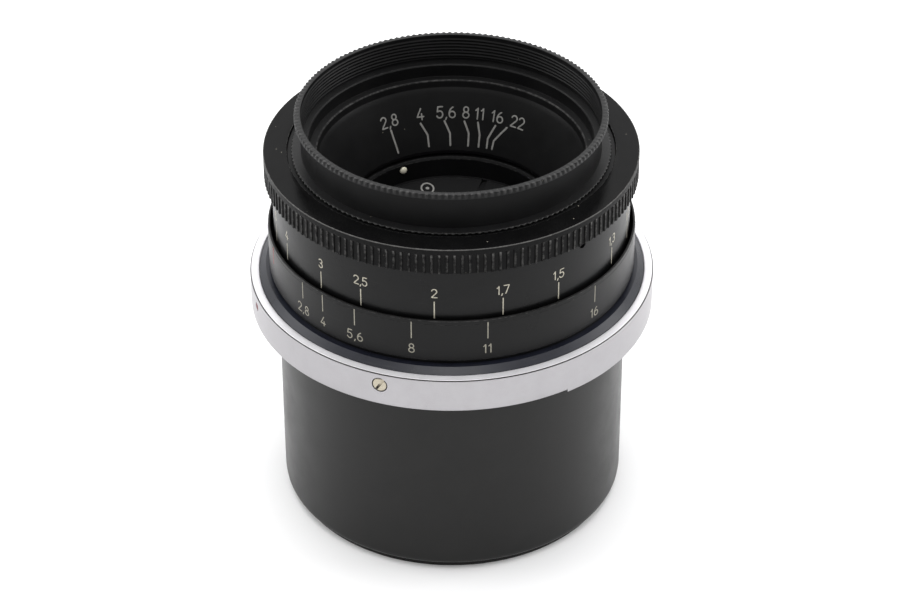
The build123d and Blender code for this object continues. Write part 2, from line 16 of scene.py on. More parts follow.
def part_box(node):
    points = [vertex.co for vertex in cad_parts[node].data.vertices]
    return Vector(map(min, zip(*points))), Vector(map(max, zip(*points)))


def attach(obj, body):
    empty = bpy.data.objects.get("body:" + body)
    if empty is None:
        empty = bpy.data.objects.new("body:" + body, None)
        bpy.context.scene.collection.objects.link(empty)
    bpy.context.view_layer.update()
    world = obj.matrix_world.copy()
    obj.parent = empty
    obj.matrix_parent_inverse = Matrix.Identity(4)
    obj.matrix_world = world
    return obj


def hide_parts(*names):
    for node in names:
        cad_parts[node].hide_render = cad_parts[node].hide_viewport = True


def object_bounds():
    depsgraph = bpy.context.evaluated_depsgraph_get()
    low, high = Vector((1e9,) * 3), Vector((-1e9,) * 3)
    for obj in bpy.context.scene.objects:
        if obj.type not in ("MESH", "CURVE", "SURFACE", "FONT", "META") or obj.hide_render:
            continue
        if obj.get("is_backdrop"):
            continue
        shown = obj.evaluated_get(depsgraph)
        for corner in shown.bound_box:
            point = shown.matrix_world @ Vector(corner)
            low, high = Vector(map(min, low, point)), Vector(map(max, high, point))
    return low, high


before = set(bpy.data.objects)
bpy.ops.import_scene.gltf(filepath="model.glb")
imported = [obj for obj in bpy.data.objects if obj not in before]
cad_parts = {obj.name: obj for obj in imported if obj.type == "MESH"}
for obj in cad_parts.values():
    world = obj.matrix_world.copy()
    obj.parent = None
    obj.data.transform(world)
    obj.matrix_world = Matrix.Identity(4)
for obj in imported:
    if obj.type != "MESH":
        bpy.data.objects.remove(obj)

START = [[float(x) for x in c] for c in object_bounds()]
MM = 0.001
random.seed(7)


# ---------------------------------------------------------------- places read from the frame
def reach(node, low=-1e9, high=1e9, pick=np.max):
    """Largest (or smallest) radius of a CAD node's vertices between two heights."""
    co = np.array([v.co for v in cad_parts[node].data.vertices]) * 1000
    radii = np.hypot(co[:, 0], co[:, 1])[(co[:, 2] > low) & (co[:, 2] < high)]
    return float(pick(radii))


def span(node):
    """Bottom and top height of a CAD node."""
    lo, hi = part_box(node)
    return lo.z * 1000, hi.z * 1000


def azimuth_height(node):
    """Azimuth and height of the middle of a CAD node's box."""
    lo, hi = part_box(node)
    mid = (lo + hi) / 2
    return math.degrees(math.atan2(mid[0], -mid[1])), mid.z * 1000


def at(azim, r, z):
    t = math.radians(azim)
    return r * math.sin(t), -r * math.cos(t), z


def thirds(azim):
    return [azim + 120 * k for k in range(3)]


# ---------------------------------------------------------------- mesh makers
FILLET = 0.05           # corner radius where a profile point gives none


def signed_area(points):
    """Twice the area inside a closed profile, signed by its sense."""
    r, z = np.array([q[:2] for q in points], float).T
    return float(np.sum(r * np.roll(z, -1) - np.roll(r, -1) * z))


def fillet(points, steps=4):
    """Round the corners of a closed profile of (r, z) or (r, z, radius) points.

    Returns (r, z, edge) with edge 1 on convex corners and -1 in concave ones.
    """
    area = signed_area(points)
    out = []
    for i, point in enumerate(points):
        corner = np.array(point[:2], float)
        radius = point[2] if len(point) > 2 else FILLET
        a = np.array(points[i - 1][:2], float) - corner
        b = np.array(points[(i + 1) % len(points)][:2], float) - corner
        len_a, len_b = np.linalg.norm(a), np.linalg.norm(b)
        if corner[0] < 1e-6 or radius <= 0 or len_a < 1e-6 or len_b < 1e-6:
            out.append((corner[0], corner[1], 0.0))
            continue
        a, b = a / len_a, b / len_b
        half = math.acos(max(-1.0, min(1.0, float(a @ b)))) / 2
        if half > math.radians(86):     # nearly straight
            out.append((corner[0], corner[1], 0.0))
            continue
        back = min(radius / math.tan(half), 0.46 * len_a, 0.46 * len_b)
        radius = back * math.tan(half)
        bisector = (a + b) / np.linalg.norm(a + b)
        centre = corner + bisector * radius / math.sin(half)
        first, last = corner + a * back - centre, corner + b * back - centre
        turn = math.pi - 2 * half
        count = max(2, int(math.ceil(turn / (math.pi / 2) * steps)))
        kind = 1.0 if (a[1] * b[0] - a[0] * b[1]) * area > 0 else -1.0
        for j in range(count + 1):
            w = j / count
            v = math.sin((1 - w) * turn) * first + math.sin(w * turn) * last
            v = v / math.sin(turn)
            out.append((centre[0] + v[0], centre[1] + v[1], kind if 0 < j < count else 0.0))
    return out


def to_object(name, verts, faces, edge=None):
    me = bpy.data.meshes.new(name)
    me.from_pydata([tuple(v) for v in verts], [], faces)
    if edge is not None:
        layer = me.attributes.new("edge", "FLOAT", "POINT")
        layer.data.foreach_set("value", np.asarray(edge, np.float32))
    me.validate()
    ob = bpy.data.objects.new(name, me)
    bpy.context.scene.collection.objects.link(ob)
    return ob


def smooth(ob, deg=32, weighted=True):
    me = ob.data
    me.polygons.foreach_set("use_smooth", [True] * len(me.polygons))
    me.set_sharp_from_angle(angle=math.radians(deg))
    me.update()
    if weighted:
        weight_normals(ob)
    return ob


def weight_normals(ob):
    ob.modifiers.new("wn", "WEIGHTED_NORMAL").keep_sharp = True


def tidy(ob):
    bm = bmesh.new()
    bm.from_mesh(ob.data)
    bmesh.ops.remove_doubles(bm, verts=bm.verts, dist=1e-8)
    bmesh.ops.recalc_face_normals(bm, faces=bm.faces)
    bm.to_mesh(ob.data)
    bm.free()
    return ob


def lathe(name, profile, seg=256, angles=None, warp=None, steps=4):
    """Solid of revolution from a closed profile.

    warp(A, R, Z, E) may move the grid and its edge value; its arrays are profile x angle and
    A is in degrees.
    """
    p = np.array(fillet(profile, steps))
    if angles is None:
        angles = np.arange(seg) * 360.0 / seg
    azim = np.radians(np.array(angles))
    n, m = len(p), len(azim)
    R, Z, E = (np.repeat(p[:, c:c + 1], m, 1) for c in range(3))
    A = np.repeat(azim[None, :], n, 0)
    if warp is not None:
        R, Z, E = warp(np.degrees(A), R, Z, E)
    verts = np.stack([R * np.sin(A) * MM, -R * np.cos(A) * MM, Z * MM], -1).reshape(-1, 3)
    on_axis = p[:, 0] < 1e-6
    idx = np.arange(n * m).reshape(n, m)
    faces = []
    for i in range(n):
        j = (i + 1) % n
        ai, aj = idx[i], idx[j]
        bi, bj = np.roll(ai, -1), np.roll(aj, -1)
        if on_axis[i] and on_axis[j]:
            continue
        if on_axis[i]:
            faces += [(int(ai[0]), int(x), int(y)) for x, y in zip(aj, bj)]
        elif on_axis[j]:
            faces += [(int(x), int(aj[0]), int(y)) for x, y in zip(ai, bi)]
        else:
            faces += list(zip(ai.tolist(), aj.tolist(), bj.tolist(), bi.tolist()))
    used = np.zeros(n * m, bool)
    used[[k for f in faces for k in f]] = True
    remap = np.cumsum(used) - 1
    faces = [tuple(int(remap[k]) for k in f) for f in faces]
    # the profile's sense decides once which way all faces look
    if signed_area(p) > 0:
        faces = [tuple(reversed(f)) for f in faces]
    return to_object(name, verts[used], faces, E.reshape(-1)[used])


def tooth_angles(count, shares):
    """Azimuths at the given shares of a pitch, for every one of count teeth."""
    return [(t + f) * 360.0 / count for t in range(count) for f in shares]


def from_ridge(A, count):
    """Distance from the nearest tooth centre, as a share of the pitch."""
    phase = (A * count / 360.0) % 1.0
    return np.abs(np.where(phase < 0.5, phase, phase - 1.0))


def evaluated(ob):
    """Apply all modifiers."""
    dg = bpy.context.evaluated_depsgraph_get()
    me = bpy.data.meshes.new_from_object(ob.evaluated_get(dg))
    ob.modifiers.clear()
    old = ob.data
    ob.data = me
    me.name = ob.name
    bpy.data.meshes.remove(old)
    return ob


def discard(ob):
    me = ob.data
    bpy.data.objects.remove(ob)
    bpy.data.meshes.remove(me)


def cut(ob, cutters):
    for cutter in cutters:
        m = ob.modifiers.new("cut", "BOOLEAN")
        m.operation = "DIFFERENCE"
        m.solver = "EXACT"
        m.object = cutter
    evaluated(ob)
    for cutter in cutters:
        discard(cutter)
    return ob


def bevel(ob, width, seg=2, deg=35):
    b = ob.modifiers.new("bev", "BEVEL")
    b.width = width * MM
    b.segments = seg
    b.limit_method = "ANGLE"
    b.angle_limit = math.radians(deg)
    b.harden_normals = False
    return ob


def join(name, obs):
    bm = bmesh.new()
    for o in obs:
        bm.from_mesh(o.data)
    me = bpy.data.meshes.new(name)
    bm.to_mesh(me)
    bm.free()
    ob = bpy.data.objects.new(name, me)
    bpy.context.scene.collection.objects.link(ob)
    for o in obs:
        discard(o)
    return ob


# Parts made below under the name "part" are joined into a piece or used as cutters.
def radial_axes(azim, z):
    """Axis point at height z, then the outward, sideways and upward unit vectors."""
    x, y, _ = at(azim, 1, 0)
    return np.array([0, 0, z]), np.array([x, y, 0]), np.array([-y, x, 0]), np.array([0, 0, 1.0])


def circle_points(azim, z, along, radius, seg):
    """Circle round the radial at an azimuth, at distance along from the axis; metres."""
    origin, out, side, up = radial_axes(azim, z)
    points = []
    for k in range(seg):
        t = 2 * math.pi * k / seg
        v = origin + out * along + side * math.cos(t) * radius + up * math.sin(t) * radius
        points.append(v * MM)
    return points


def rod(azim, z, r0, r1, radius, seg=40):
    """Closed cylinder along the radial, from r0 to r1."""
    verts = [v for r in (r0, r1) for v in circle_points(azim, z, r, radius, seg)]
    faces = [(k, (k + 1) % seg, seg + (k + 1) % seg, seg + k) for k in range(seg)]
    faces += [tuple(range(seg))[::-1], tuple(range(seg, 2 * seg))]
    return tidy(to_object("part", verts, faces))


def slab(azim, z, r0, r1, width, height, turn=0.0):
    """Closed box centred on the radial, turned about it."""
    origin, out, side, up = radial_axes(azim, z)
    t = math.radians(turn)
    u = side * math.cos(t) + up * math.sin(t)
    v = up * math.cos(t) - side * math.sin(t)
    verts = [(out * r + origin + u * i * width / 2 + v * j * height / 2) * MM
             for r in (r0, r1) for i, j in ((-1, -1), (1, -1), (1, 1), (-1, 1))]
    faces = [(0, 3, 2, 1), (4, 5, 6, 7), (0, 1, 5, 4), (1, 2, 6, 5), (2, 3, 7, 6), (3, 0, 4, 7)]
    return tidy(to_object("part", verts, faces))


def arc_block(a0, a1, r0, r1, z0, z1):
    """Block bent round the axis, in steps of at most a degree."""
    n = max(2, int(math.ceil(a1 - a0)))
    verts, faces = [], []
    for k in range(n + 1):
        for r, z in ((r0, z0), (r1, z0), (r1, z1), (r0, z1)):
            verts.append(tuple(c * MM for c in at(a0 + (a1 - a0) * k / n, r, z)))
    for k in range(n):
        for j in range(4):
            a, b = 4 * k + j, 4 * k + (j + 1) % 4
            faces.append((a, b, b + 4, a + 4))
    faces += [(0, 3, 2, 1), tuple(4 * n + j for j in range(4))]
    return tidy(to_object("part", verts, faces))


def lug_blocks(mid, half_angle, r0, r1, z0, z1, width, seg):
    """Three bevelled blocks, evenly spaced."""
    return [evaluated(bevel(arc_block(a - half_angle, a + half_angle, r0, r1, z0, z1), width, seg))
            for a in thirds(mid)]


def fan_faces(rings, seg):
    """Faces of a disc: a fan round vertex 0, then bands between the rings."""
    faces = [(0, 1 + k, 1 + (k + 1) % seg) for k in range(seg)]
    for b in range(1, 1 + (rings - 1) * seg, seg):
        faces += [(b + k, b + seg + k, b + seg + (k + 1) % seg, b + (k + 1) % seg)
                  for k in range(seg)]
    return faces


def stud(name, azim, z, apex, rings, seg):
    """Closed turned solid on the radial; rings are (radius, distance from the lens axis)."""
    origin, out, _, _ = radial_axes(azim, z)
    verts = [(origin + out * apex) * MM]
    for radius, along in rings:
        verts += circle_points(azim, z, along, radius, seg)
    last = 1 + (len(rings) - 1) * seg
    faces = fan_faces(len(rings), seg) + [tuple(range(last, last + seg))]
    return tidy(to_object(name, verts, faces))


def boss(azim, z, r_out, radius, profile, slot=None, seg=48, deep=1.2, name="part"):
    """Turned head facing outwards.

    profile is (share of radius, depth below r_out) from the centre out; slot is
    (width, depth, turn in degrees).
    """
    rings = [(s * radius, r_out - d) for s, d in profile[1:]] + [(radius, r_out - deep)]
    ob = stud(name, azim, z, r_out - profile[0][1], rings, seg)
    if slot:
        width, depth, turn = slot
        cut(ob, [slab(azim, z, r_out - depth, r_out + 1, width, 4 * radius, turn)])
        evaluated(bevel(ob, 0.03, seg=2, deg=40))
    return ob


# ---------------------------------------------------------------- numerals, as round-ended strokes
def arc(cx, cy, rx, ry, t0, t1, n=14):
    angles = [math.radians(t0 + (t1 - t0) * i / n) for i in range(n + 1)]
    return [(cx + rx * math.cos(t), cy + ry * math.sin(t)) for t in angles]


def lemniscate():
    points = []
    for t in range(0, 361, 9):
        s, c = math.sin(math.radians(t)), math.cos(math.radians(t))
        points.append((0.575 + 0.52 * c / (1 + s ** 2), 0.5 + 0.62 * s * c / (1 + s ** 2)))
    return points


# character: (width, strokes), in shares of the figure height
GLYPH = {
    "0": (0.60, [arc(0.30, 0.5, 0.27, 0.48, 90, 450, 28)]),
    "1": (0.34, [[(0.03, 0.76), (0.12, 0.83), (0.21, 0.98), (0.21, 0.02)]]),
    "2": (0.60, [arc(0.30, 0.72, 0.255, 0.26, 165, -28, 16)
                 + [(0.38, 0.42), (0.19, 0.21), (0.04, 0.02), (0.57, 0.02)]]),
    "3": (0.58, [arc(0.28, 0.745, 0.22, 0.235, 150, -78, 14) + [(0.24, 0.53)],
                 [(0.24, 0.53)] + arc(0.28, 0.275, 0.25, 0.258, 86, -158, 16)]),
    "4": (0.62, [[(0.40, 0.98), (0.03, 0.27), (0.60, 0.27)], [(0.44, 0.52), (0.44, 0.02)]]),
    "5": (0.60, [[(0.53, 0.98), (0.13, 0.98), (0.08, 0.55)]
                 + arc(0.28, 0.32, 0.265, 0.30, 128, -155, 18)]),
    "6": (0.60, [arc(0.30, 0.29, 0.255, 0.27, 0, 360, 26),
                 arc(0.57, 0.34, 0.53, 0.63, 112, 184, 10)]),
    "7": (0.58, [[(0.03, 0.98), (0.55, 0.98), (0.20, 0.02)]]),
    "8": (0.60, [arc(0.30, 0.755, 0.205, 0.225, 0, 360, 24),
                 arc(0.30, 0.27, 0.255, 0.25, 0, 360, 26)]),
    "9": (0.60, [arc(0.30, 0.71, 0.255, 0.27, 0, 360, 26),
                 arc(0.03, 0.66, 0.53, 0.63, -68, 4, 10)]),
    ",": (0.12, [[(0.10, 0.04), (0.02, -0.15)]]),
    "inf": (1.15, [lemniscate()]),
}


def layout(text, height, gap, comma):
    """Strokes of a label centred on 0; gap and comma are spacings in shares of the height."""
    x, out = 0.0, []
    for c in ["inf"] if text == "inf" else text:
        width, strokes = GLYPH[c]
        if c == ",":
            x += comma - gap
        out += [[(x + px, py) for px, py in s] for s in strokes]
        x += width + (gap if c != "," else comma)
    total = x - gap
    return [[((px - total / 2) * height, (py - 0.5) * height) for px, py in s] for s in out]


def resample(line, step):
    points = [np.array(p, float) for p in line]
    out = [points[0]]
    for a, b in zip(points[:-1], points[1:]):
        n = max(1, int(math.ceil(np.linalg.norm(b - a) / step)))
        out += [a + (b - a) * (i + 1) / n for i in range(n)]
    return out


STROKE_LIFT = 0.022     # height of a stroke above its surface
STROKE_SINK = 0.03      # depth below it
STROKE_STEP = 0.09      # spacing of the stations along it
STROKE_SIDES = 8        # vertices round its section
CAP_SHARES = (0.5, 0.8, 0.97)   # stations inside a round end, in shares of its radius


def stroke_stations(line, closed, width):
    """(point, unit direction, share of full width) along a stroke."""
    points = resample(line, STROKE_STEP)
    if closed:
        points = points[:-1]
    n = len(points)
    stations = []
    for i in range(n):
        before = points[(i - 1) % n if closed else max(i - 1, 0)]
        after = points[(i + 1) % n if closed else min(i + 1, n - 1)]
        step = after - before
        stations.append((points[i], step / max(1e-9, np.linalg.norm(step)), 1.0))
    if closed:
        return stations
    t0, t1 = stations[0][1], stations[-1][1]
    start = [(points[0] - t0 * width / 2 * k, t0, math.sqrt(1 - k * k)) for k in CAP_SHARES[::-1]]
    end = [(points[-1] + t1 * width / 2 * k, t1, math.sqrt(1 - k * k)) for k in CAP_SHARES]
    return start + stations + end


def stroke_mesh(name, strokes, place, width, jitter=0.0, seed=1):
    """A low closed ridge per stroke; place(u, v, lift) maps the label plane to the object."""
    rnd = random.Random(seed)
    verts, faces = [], []
    m = STROKE_SIDES
    for line in strokes:
        closed = len(line) > 3 and math.dist(line[0], line[-1]) < 1e-6
        stations = stroke_stations(line, closed, width)
        base = len(verts)
        for point, t, w in stations:
            half = width / 2 * w * (1 + jitter * (rnd.random() - 0.5))
            for k in range(m):
                phase = 2 * math.pi * k / m + math.pi / m
                u, h = math.cos(phase) * half, math.sin(phase)
                u = math.copysign(min(abs(u) * 1.08, half), u)
                h = h * STROKE_LIFT * (0.4 + 0.6 * w) if h > 0 else h * STROKE_SINK
                xyz = place(point[0] - t[1] * u, point[1] + t[0] * u, h)
                verts.append(tuple(x * MM for x in xyz))
        n = len(stations)
        for i in range(n if closed else n - 1):
            a, b = base + i * m, base + ((i + 1) % n) * m
            for j in range(m):
                faces.append((a + j, a + (j + 1) % m, b + (j + 1) % m, b + j))
        if not closed:
            faces.append(tuple(base + j for j in range(m))[::-1])
            faces.append(tuple(base + (n - 1) * m + j for j in range(m)))
    return smooth(tidy(to_object(name, verts, faces)), 60, weighted=False)


def on_cylinder(azim, r, z0):
    def place(u, v, lift):
        return at(azim + math.degrees(u / r), r + lift, z0 + v)
    return place


def on_cone(cone, azim=0.0, share=0.0, mm_per_degree=None):
    """Inner cone (r0, z0, r1, z1), with v = 0 at a share of its slant.

    u runs against the azimuth, or along it at a fixed mm_per_degree when that is given.
    """
    r0, z0, r1, z1 = cone
    slant = math.hypot(r1 - r0, z1 - z0)
    dr, dz = (r1 - r0) / slant, (z1 - z0) / slant

    def place(u, v, lift):
        s = share * slant + v
        r, z = r0 + dr * s, z0 + dz * s
        turn = u / mm_per_degree if mm_per_degree else -math.degrees(u / r)
        return at(azim + turn, r - dz * lift, z + dr * lift)
    return place


# ---------------------------------------------------------------- materials
class Mat:
    """A small builder for node materials. Coordinates are object space in mm."""

    SOCKETS = {"base": "Base Color", "rough": "Roughness", "metal": "Metallic", "ior": "IOR",
               "spec": "Specular IOR Level", "spec_tint": "Specular Tint", "normal": "Normal",
               "trans": "Transmission Weight", "glow": "Emission Color",
               "glow_strength": "Emission Strength"}

    def __init__(self, name):
        self.m = bpy.data.materials.new(name)
        self.m.use_nodes = True
        self.tree = self.m.node_tree
        self.tree.nodes.clear()
        self.link = self.tree.links.new
        out = self.new("OutputMaterial")
        self.shader = self.new("BsdfPrincipled")
        self.link(self.shader.outputs[0], out.inputs[0])
        self.pos = self.scaled(self.new("TexCoord").outputs["Object"], 1000.0)

    def new(self, kind):
        return self.tree.nodes.new("ShaderNode" + kind)

    def put(self, sock, v):
        """Feed a socket from another one, a colour or a number."""
        if isinstance(v, bpy.types.NodeSocket):
            self.link(v, sock)
        else:
            sock.default_value = (*v, 1.0) if isinstance(v, tuple) else v

    def scaled(self, vec, factor):
        n = self.new("VectorMath")
        n.operation = "SCALE"
        self.link(vec, n.inputs[0])
        self.put(n.inputs["Scale"], factor)
        return n.outputs[0]

    def split(self, vec):
        n = self.new("SeparateXYZ")
        self.link(vec, n.inputs[0])
        return tuple(n.outputs)

    @cached_property
    def xyz(self):
        return self.split(self.pos)

    @cached_property
    def r(self):
        """Distance from the axis."""
        x, y, _ = self.xyz
        return self.math("SQRT", self.add(self.mul(x, x), self.mul(y, y)))

    @cached_property
    def dir(self):
        """Outward direction, x and y."""
        return [self.math("DIVIDE", c, self.max(self.r, 0.01)) for c in self.xyz[:2]]

    def math(self, op, *values, clamp=False):
        n = self.new("Math")
        n.operation = op
        n.use_clamp = clamp
        for sock, v in zip(n.inputs, values):
            self.put(sock, v)
        return n.outputs[0]

    def add(self, a, b):
        return self.math("ADD", a, b)

    def sub(self, a, b):
        return self.math("SUBTRACT", a, b)

    def mul(self, a, b, clamp=False):
        return self.math("MULTIPLY", a, b, clamp=clamp)

    def max(self, a, b, clamp=False):
        return self.math("MAXIMUM", a, b, clamp=clamp)

    def vec(self, *values):
        n = self.new("CombineXYZ")
        for sock, v in zip(n.inputs, values):
            self.put(sock, v)
        return n.outputs[0]

    def noise(self, scale=1.0, detail=3.0, rough=0.55, vec=None):
        n = self.new("TexNoise")
        self.link(vec if vec is not None else self.pos, n.inputs["Vector"])
        n.inputs["Scale"].default_value = scale
        n.inputs["Detail"].default_value = detail
        n.inputs["Roughness"].default_value = rough
        return n.outputs["Fac"]

    def specks(self, scale, size):
        """1 inside small scattered dots."""
        n = self.new("TexVoronoi")
        self.link(self.pos, n.inputs["Vector"])
        n.inputs["Scale"].default_value = scale
        return self.math("LESS_THAN", n.outputs["Distance"], size)

    def ramp(self, v, source, target=(0.0, 1.0)):
        """Map the source range onto the target range, clamped."""
        n = self.new("MapRange")
        n.clamp = True
        for sock, value in zip(n.inputs, (v, *source, *target)):
            self.put(sock, value)
        return n.outputs[0]

    def mix(self, factor, a, b):
        n = self.new("Mix")
        n.data_type = "RGBA"
        self.put(n.inputs["Factor"], factor)
        for name, v in (("A", a), ("B", b)):
            self.put([i for i in n.inputs if i.name == name and i.type == "RGBA"][0], v)
        return [o for o in n.outputs if o.type == "RGBA"][0]

    def toned(self, colour, tone):
        """A plain colour brightened or darkened by tone."""
        return self.scaled(self.mix(1.0, (0.0, 0.0, 0.0), colour), tone)

    def edge(self):
        n = self.new("Attribute")
        n.attribute_name = "edge"
        return n.outputs["Fac"]

    def raised(self):
        return self.max(self.edge(), 0.0)

    def sunk(self):
        # concave corners; the materials paint shade there
        return self.max(self.mul(self.edge(), -1.0), 0.0)

    def up(self):
        return self.split(self.new("NewGeometry").outputs["Normal"])[2]

    def bump(self, height, strength, distance):
        n = self.new("Bump")
        n.inputs["Strength"].default_value = strength
        n.inputs["Distance"].default_value = distance
        self.link(height, n.inputs["Height"])
        return n.outputs[0]

    def set(self, **values):
        for k, v in values.items():
            self.put(self.shader.inputs[self.SOCKETS[k]], v)
        return self.m

    def turned(self, density):
        """Lathe marks: lines that run round the axis."""
        z = self.xyz[2]
        around = self.vec(self.mul(self.dir[0], 2.0), self.mul(self.dir[1], 2.0), z)
        wobble = self.noise(detail=2, vec=around)
        across = self.math("MULTIPLY_ADD", self.r, density, self.mul(wobble, 0.35))
        return self.noise(detail=4, rough=0.7, vec=self.vec(across, self.mul(z, density), 0.0))

    def streaks(self, density, low):
        """Hair scratches that run part of the way round."""
        h = self.mul(self.add(self.r, self.xyz[2]), density)
        vec = self.vec(self.mul(self.dir[0], 4.0), self.mul(self.dir[1], 4.0), h)
        return self.ramp(self.noise(detail=5, rough=0.65, vec=vec), (low, 0.72))


def black(name, base, rough, spec, worn, dust, scratch=0.35, tint=(1.0, 1.0, 1.04), grey=0.16,
          turned=0.5, polished_above=None, haze=0.06, speck_min=0.56, speck_side=0.2):
    """Black metal: fine grain, faint turning marks, rubbed edges, a few dust specks, painted shade
    in concave corners.

    worn and grey set how far and how light the edges rub; edge values above 1 force a rub that is
    partly a painted highlight. speck_min is the noise level above which specks show, speck_side
    their strength on upright faces. The surface is glossier above the height polished_above.
    """
    m = Mat(name)
    big = m.noise(scale=0.22, detail=4, rough=0.6)
    fine = m.noise(scale=9.0, detail=3, rough=0.6)
    streak = m.streaks(density=7.0, low=0.62)
    # edge values above 1 force a rub, partly wear and partly a painted highlight; the rest rub in
    # patches
    edge = m.raised()
    forced_wear_and_highlight = m.mul(m.max(m.sub(edge, 1.0), 0.0),
                   m.ramp(m.noise(scale=0.7, detail=5, rough=0.7), (0.3, 0.6), (0.55, 1.0)))
    patches = m.ramp(m.noise(scale=1.6, detail=5, rough=0.7), (0.44, 0.60))
    rub_and_highlight = m.mul(m.math("MINIMUM", edge, 1.0), patches, clamp=True)
    rub_and_highlight = m.max(rub_and_highlight, forced_wear_and_highlight, clamp=True)
    # colour: base tone, scratches, rubbed edges (forced ones partly a painted highlight), painted
    # shade in concave corners, specks, haze
    tone = m.mul(m.ramp(big, (0.3, 0.7), (0.82, 1.22)), m.ramp(fine, (0.3, 0.7), (0.9, 1.12)))
    col = m.toned(tuple(base * t for t in tint), tone)
    col = m.mix(m.mul(streak, scratch * 0.25), col, (grey * 0.5, grey * 0.5, grey * 0.5))
    col = m.mix(m.mul(rub_and_highlight, worn), col, (grey, grey * 0.98, grey * 0.95))
    # painted shade: concave corners darken towards a deeper black
    col = m.mix(m.mul(m.sunk(), 0.5), col, (base * 0.35, base * 0.33, base * 0.3))
    speck = m.specks(scale=0.62, size=0.045)
    keep = m.math("GREATER_THAN", m.noise(scale=0.4, detail=1), speck_min)
    facing_up = m.ramp(m.up(), (0.0, 0.9))
    speck = m.mul(m.mul(speck, keep),
                  m.math("MULTIPLY_ADD", facing_up, 1.0 - speck_side, speck_side))
    film = m.mul(m.ramp(m.noise(scale=0.9, detail=6, rough=0.7), (0.5, 0.8)),
                 m.mul(facing_up, haze * dust))
    col = m.mix(m.mul(speck, dust), col, (0.30, 0.28, 0.23))
    col = m.mix(film, col, (0.25, 0.24, 0.22))
    ro = m.add(m.ramp(big, (0.25, 0.75), (rough - 0.05, rough + 0.06)),
               m.ramp(fine, (0.3, 0.7), (-0.02, 0.03)))
    ro = m.sub(ro, m.mul(rub_and_highlight, 0.1))
    if polished_above is not None:
        top = m.ramp(m.xyz[2], (polished_above - 0.03, polished_above))
        top = m.mul(top, m.sub(1.0, rub_and_highlight), clamp=True)
        ro = m.sub(ro, m.mul(top, rough - 0.20))
    h = m.add(m.mul(fine, 0.5), m.mul(m.turned(density=7.0), turned))
    h = m.sub(h, m.mul(streak, 0.3 * scratch))
    return m.set(base=col, rough=ro, spec=spec,
                 normal=m.bump(h, strength=0.22, distance=0.00003))


def metal(name, base, rough, grain, turned, dirt, dull=0.0):
    """Plated or turned metal: satin grain, turning marks, scratches, painted shade in concave
    corners.
    """
    m = Mat(name)
    big = m.noise(scale=0.18, detail=4, rough=0.6)
    fine = m.noise(scale=11.0, detail=3, rough=0.65)
    streak = m.streaks(density=6.0, low=0.60)
    blot = m.ramp(m.noise(scale=0.5, detail=6, rough=0.7), (0.48, 0.72))
    tone = m.mul(m.ramp(big, (0.3, 0.7), (0.93, 1.04)), m.ramp(fine, (0.3, 0.7), (0.955, 1.03)))
    col = m.toned(base, tone)
    col = m.mix(m.mul(blot, 0.10 * dirt), col, (base[0] * 0.55, base[1] * 0.5, base[2] * 0.43))
    # painted shade: concave corners, and faces given edge values below zero, go near black
    col = m.mix(m.mul(m.sunk(), 0.75), col, (0.06, 0.055, 0.05))
    fleck = m.mul(m.specks(scale=0.8, size=0.05),
                  m.math("GREATER_THAN", m.noise(scale=0.5, detail=1), 0.6))
    col = m.mix(m.mul(fleck, 0.45 * dirt), col, (0.16, 0.14, 0.11))
    ro = m.add(m.ramp(big, (0.25, 0.75), (rough - 0.05, rough + 0.07)),
               m.ramp(fine, (0.3, 0.7), (-0.03, 0.04)))
    ro = m.add(ro, m.mul(streak, -0.08))
    ro = m.sub(ro, m.mul(m.raised(), 0.08))
    h = m.add(m.mul(fine, grain), m.mul(m.turned(density=10.0), turned))
    h = m.sub(h, m.mul(streak, 0.35))
    return m.set(base=col, rough=ro, metal=1.0 - dull,
                 normal=m.bump(h, strength=0.2, distance=0.00003))


def enamel(name, base, rough, chip, dark):
    """Paint in an engraved mark: uneven, with dark chips."""
    m = Mat(name)
    patchy = m.noise(scale=1.9, detail=5, rough=0.7)
    fine = m.noise(scale=7.0, detail=3, rough=0.6)
    col = m.toned(base, m.ramp(patchy, (0.3, 0.7), (0.78, 1.12)))
    col = m.mix(m.mul(m.ramp(fine, (0.56, 0.70)), chip), col, dark)
    return m.set(base=col, rough=m.ramp(fine, (0.3, 0.7), (rough - 0.06, rough + 0.12)),
                 spec=0.35, normal=m.bump(fine, strength=0.25, distance=0.00002))


def glass(name):
    """Coated glass with violet reflections, faint wipe marks and dust."""
    m = Mat(name)
    cloud = m.noise(scale=0.35, detail=4, rough=0.6)
    dust = m.specks(scale=0.9, size=0.03)
    x, y, z = m.xyz
    wipe = m.noise(detail=5, rough=0.7, vec=m.vec(m.mul(x, 0.5), m.mul(y, 2.5), z))
    ro = m.add(m.ramp(cloud, (0.3, 0.75), (0.015, 0.045)),
               m.mul(m.ramp(wipe, (0.55, 0.75)), 0.03))
    return m.set(base=m.mix(m.mul(dust, 0.5), (0.93, 0.95, 1.0), (0.55, 0.53, 0.5)), rough=ro,
                 ior=1.6, trans=m.sub(1.0, m.mul(dust, 0.7)), spec_tint=(0.75, 0.55, 1.0),
                 spec=0.35, normal=m.bump(cloud, strength=0.02, distance=0.00002))


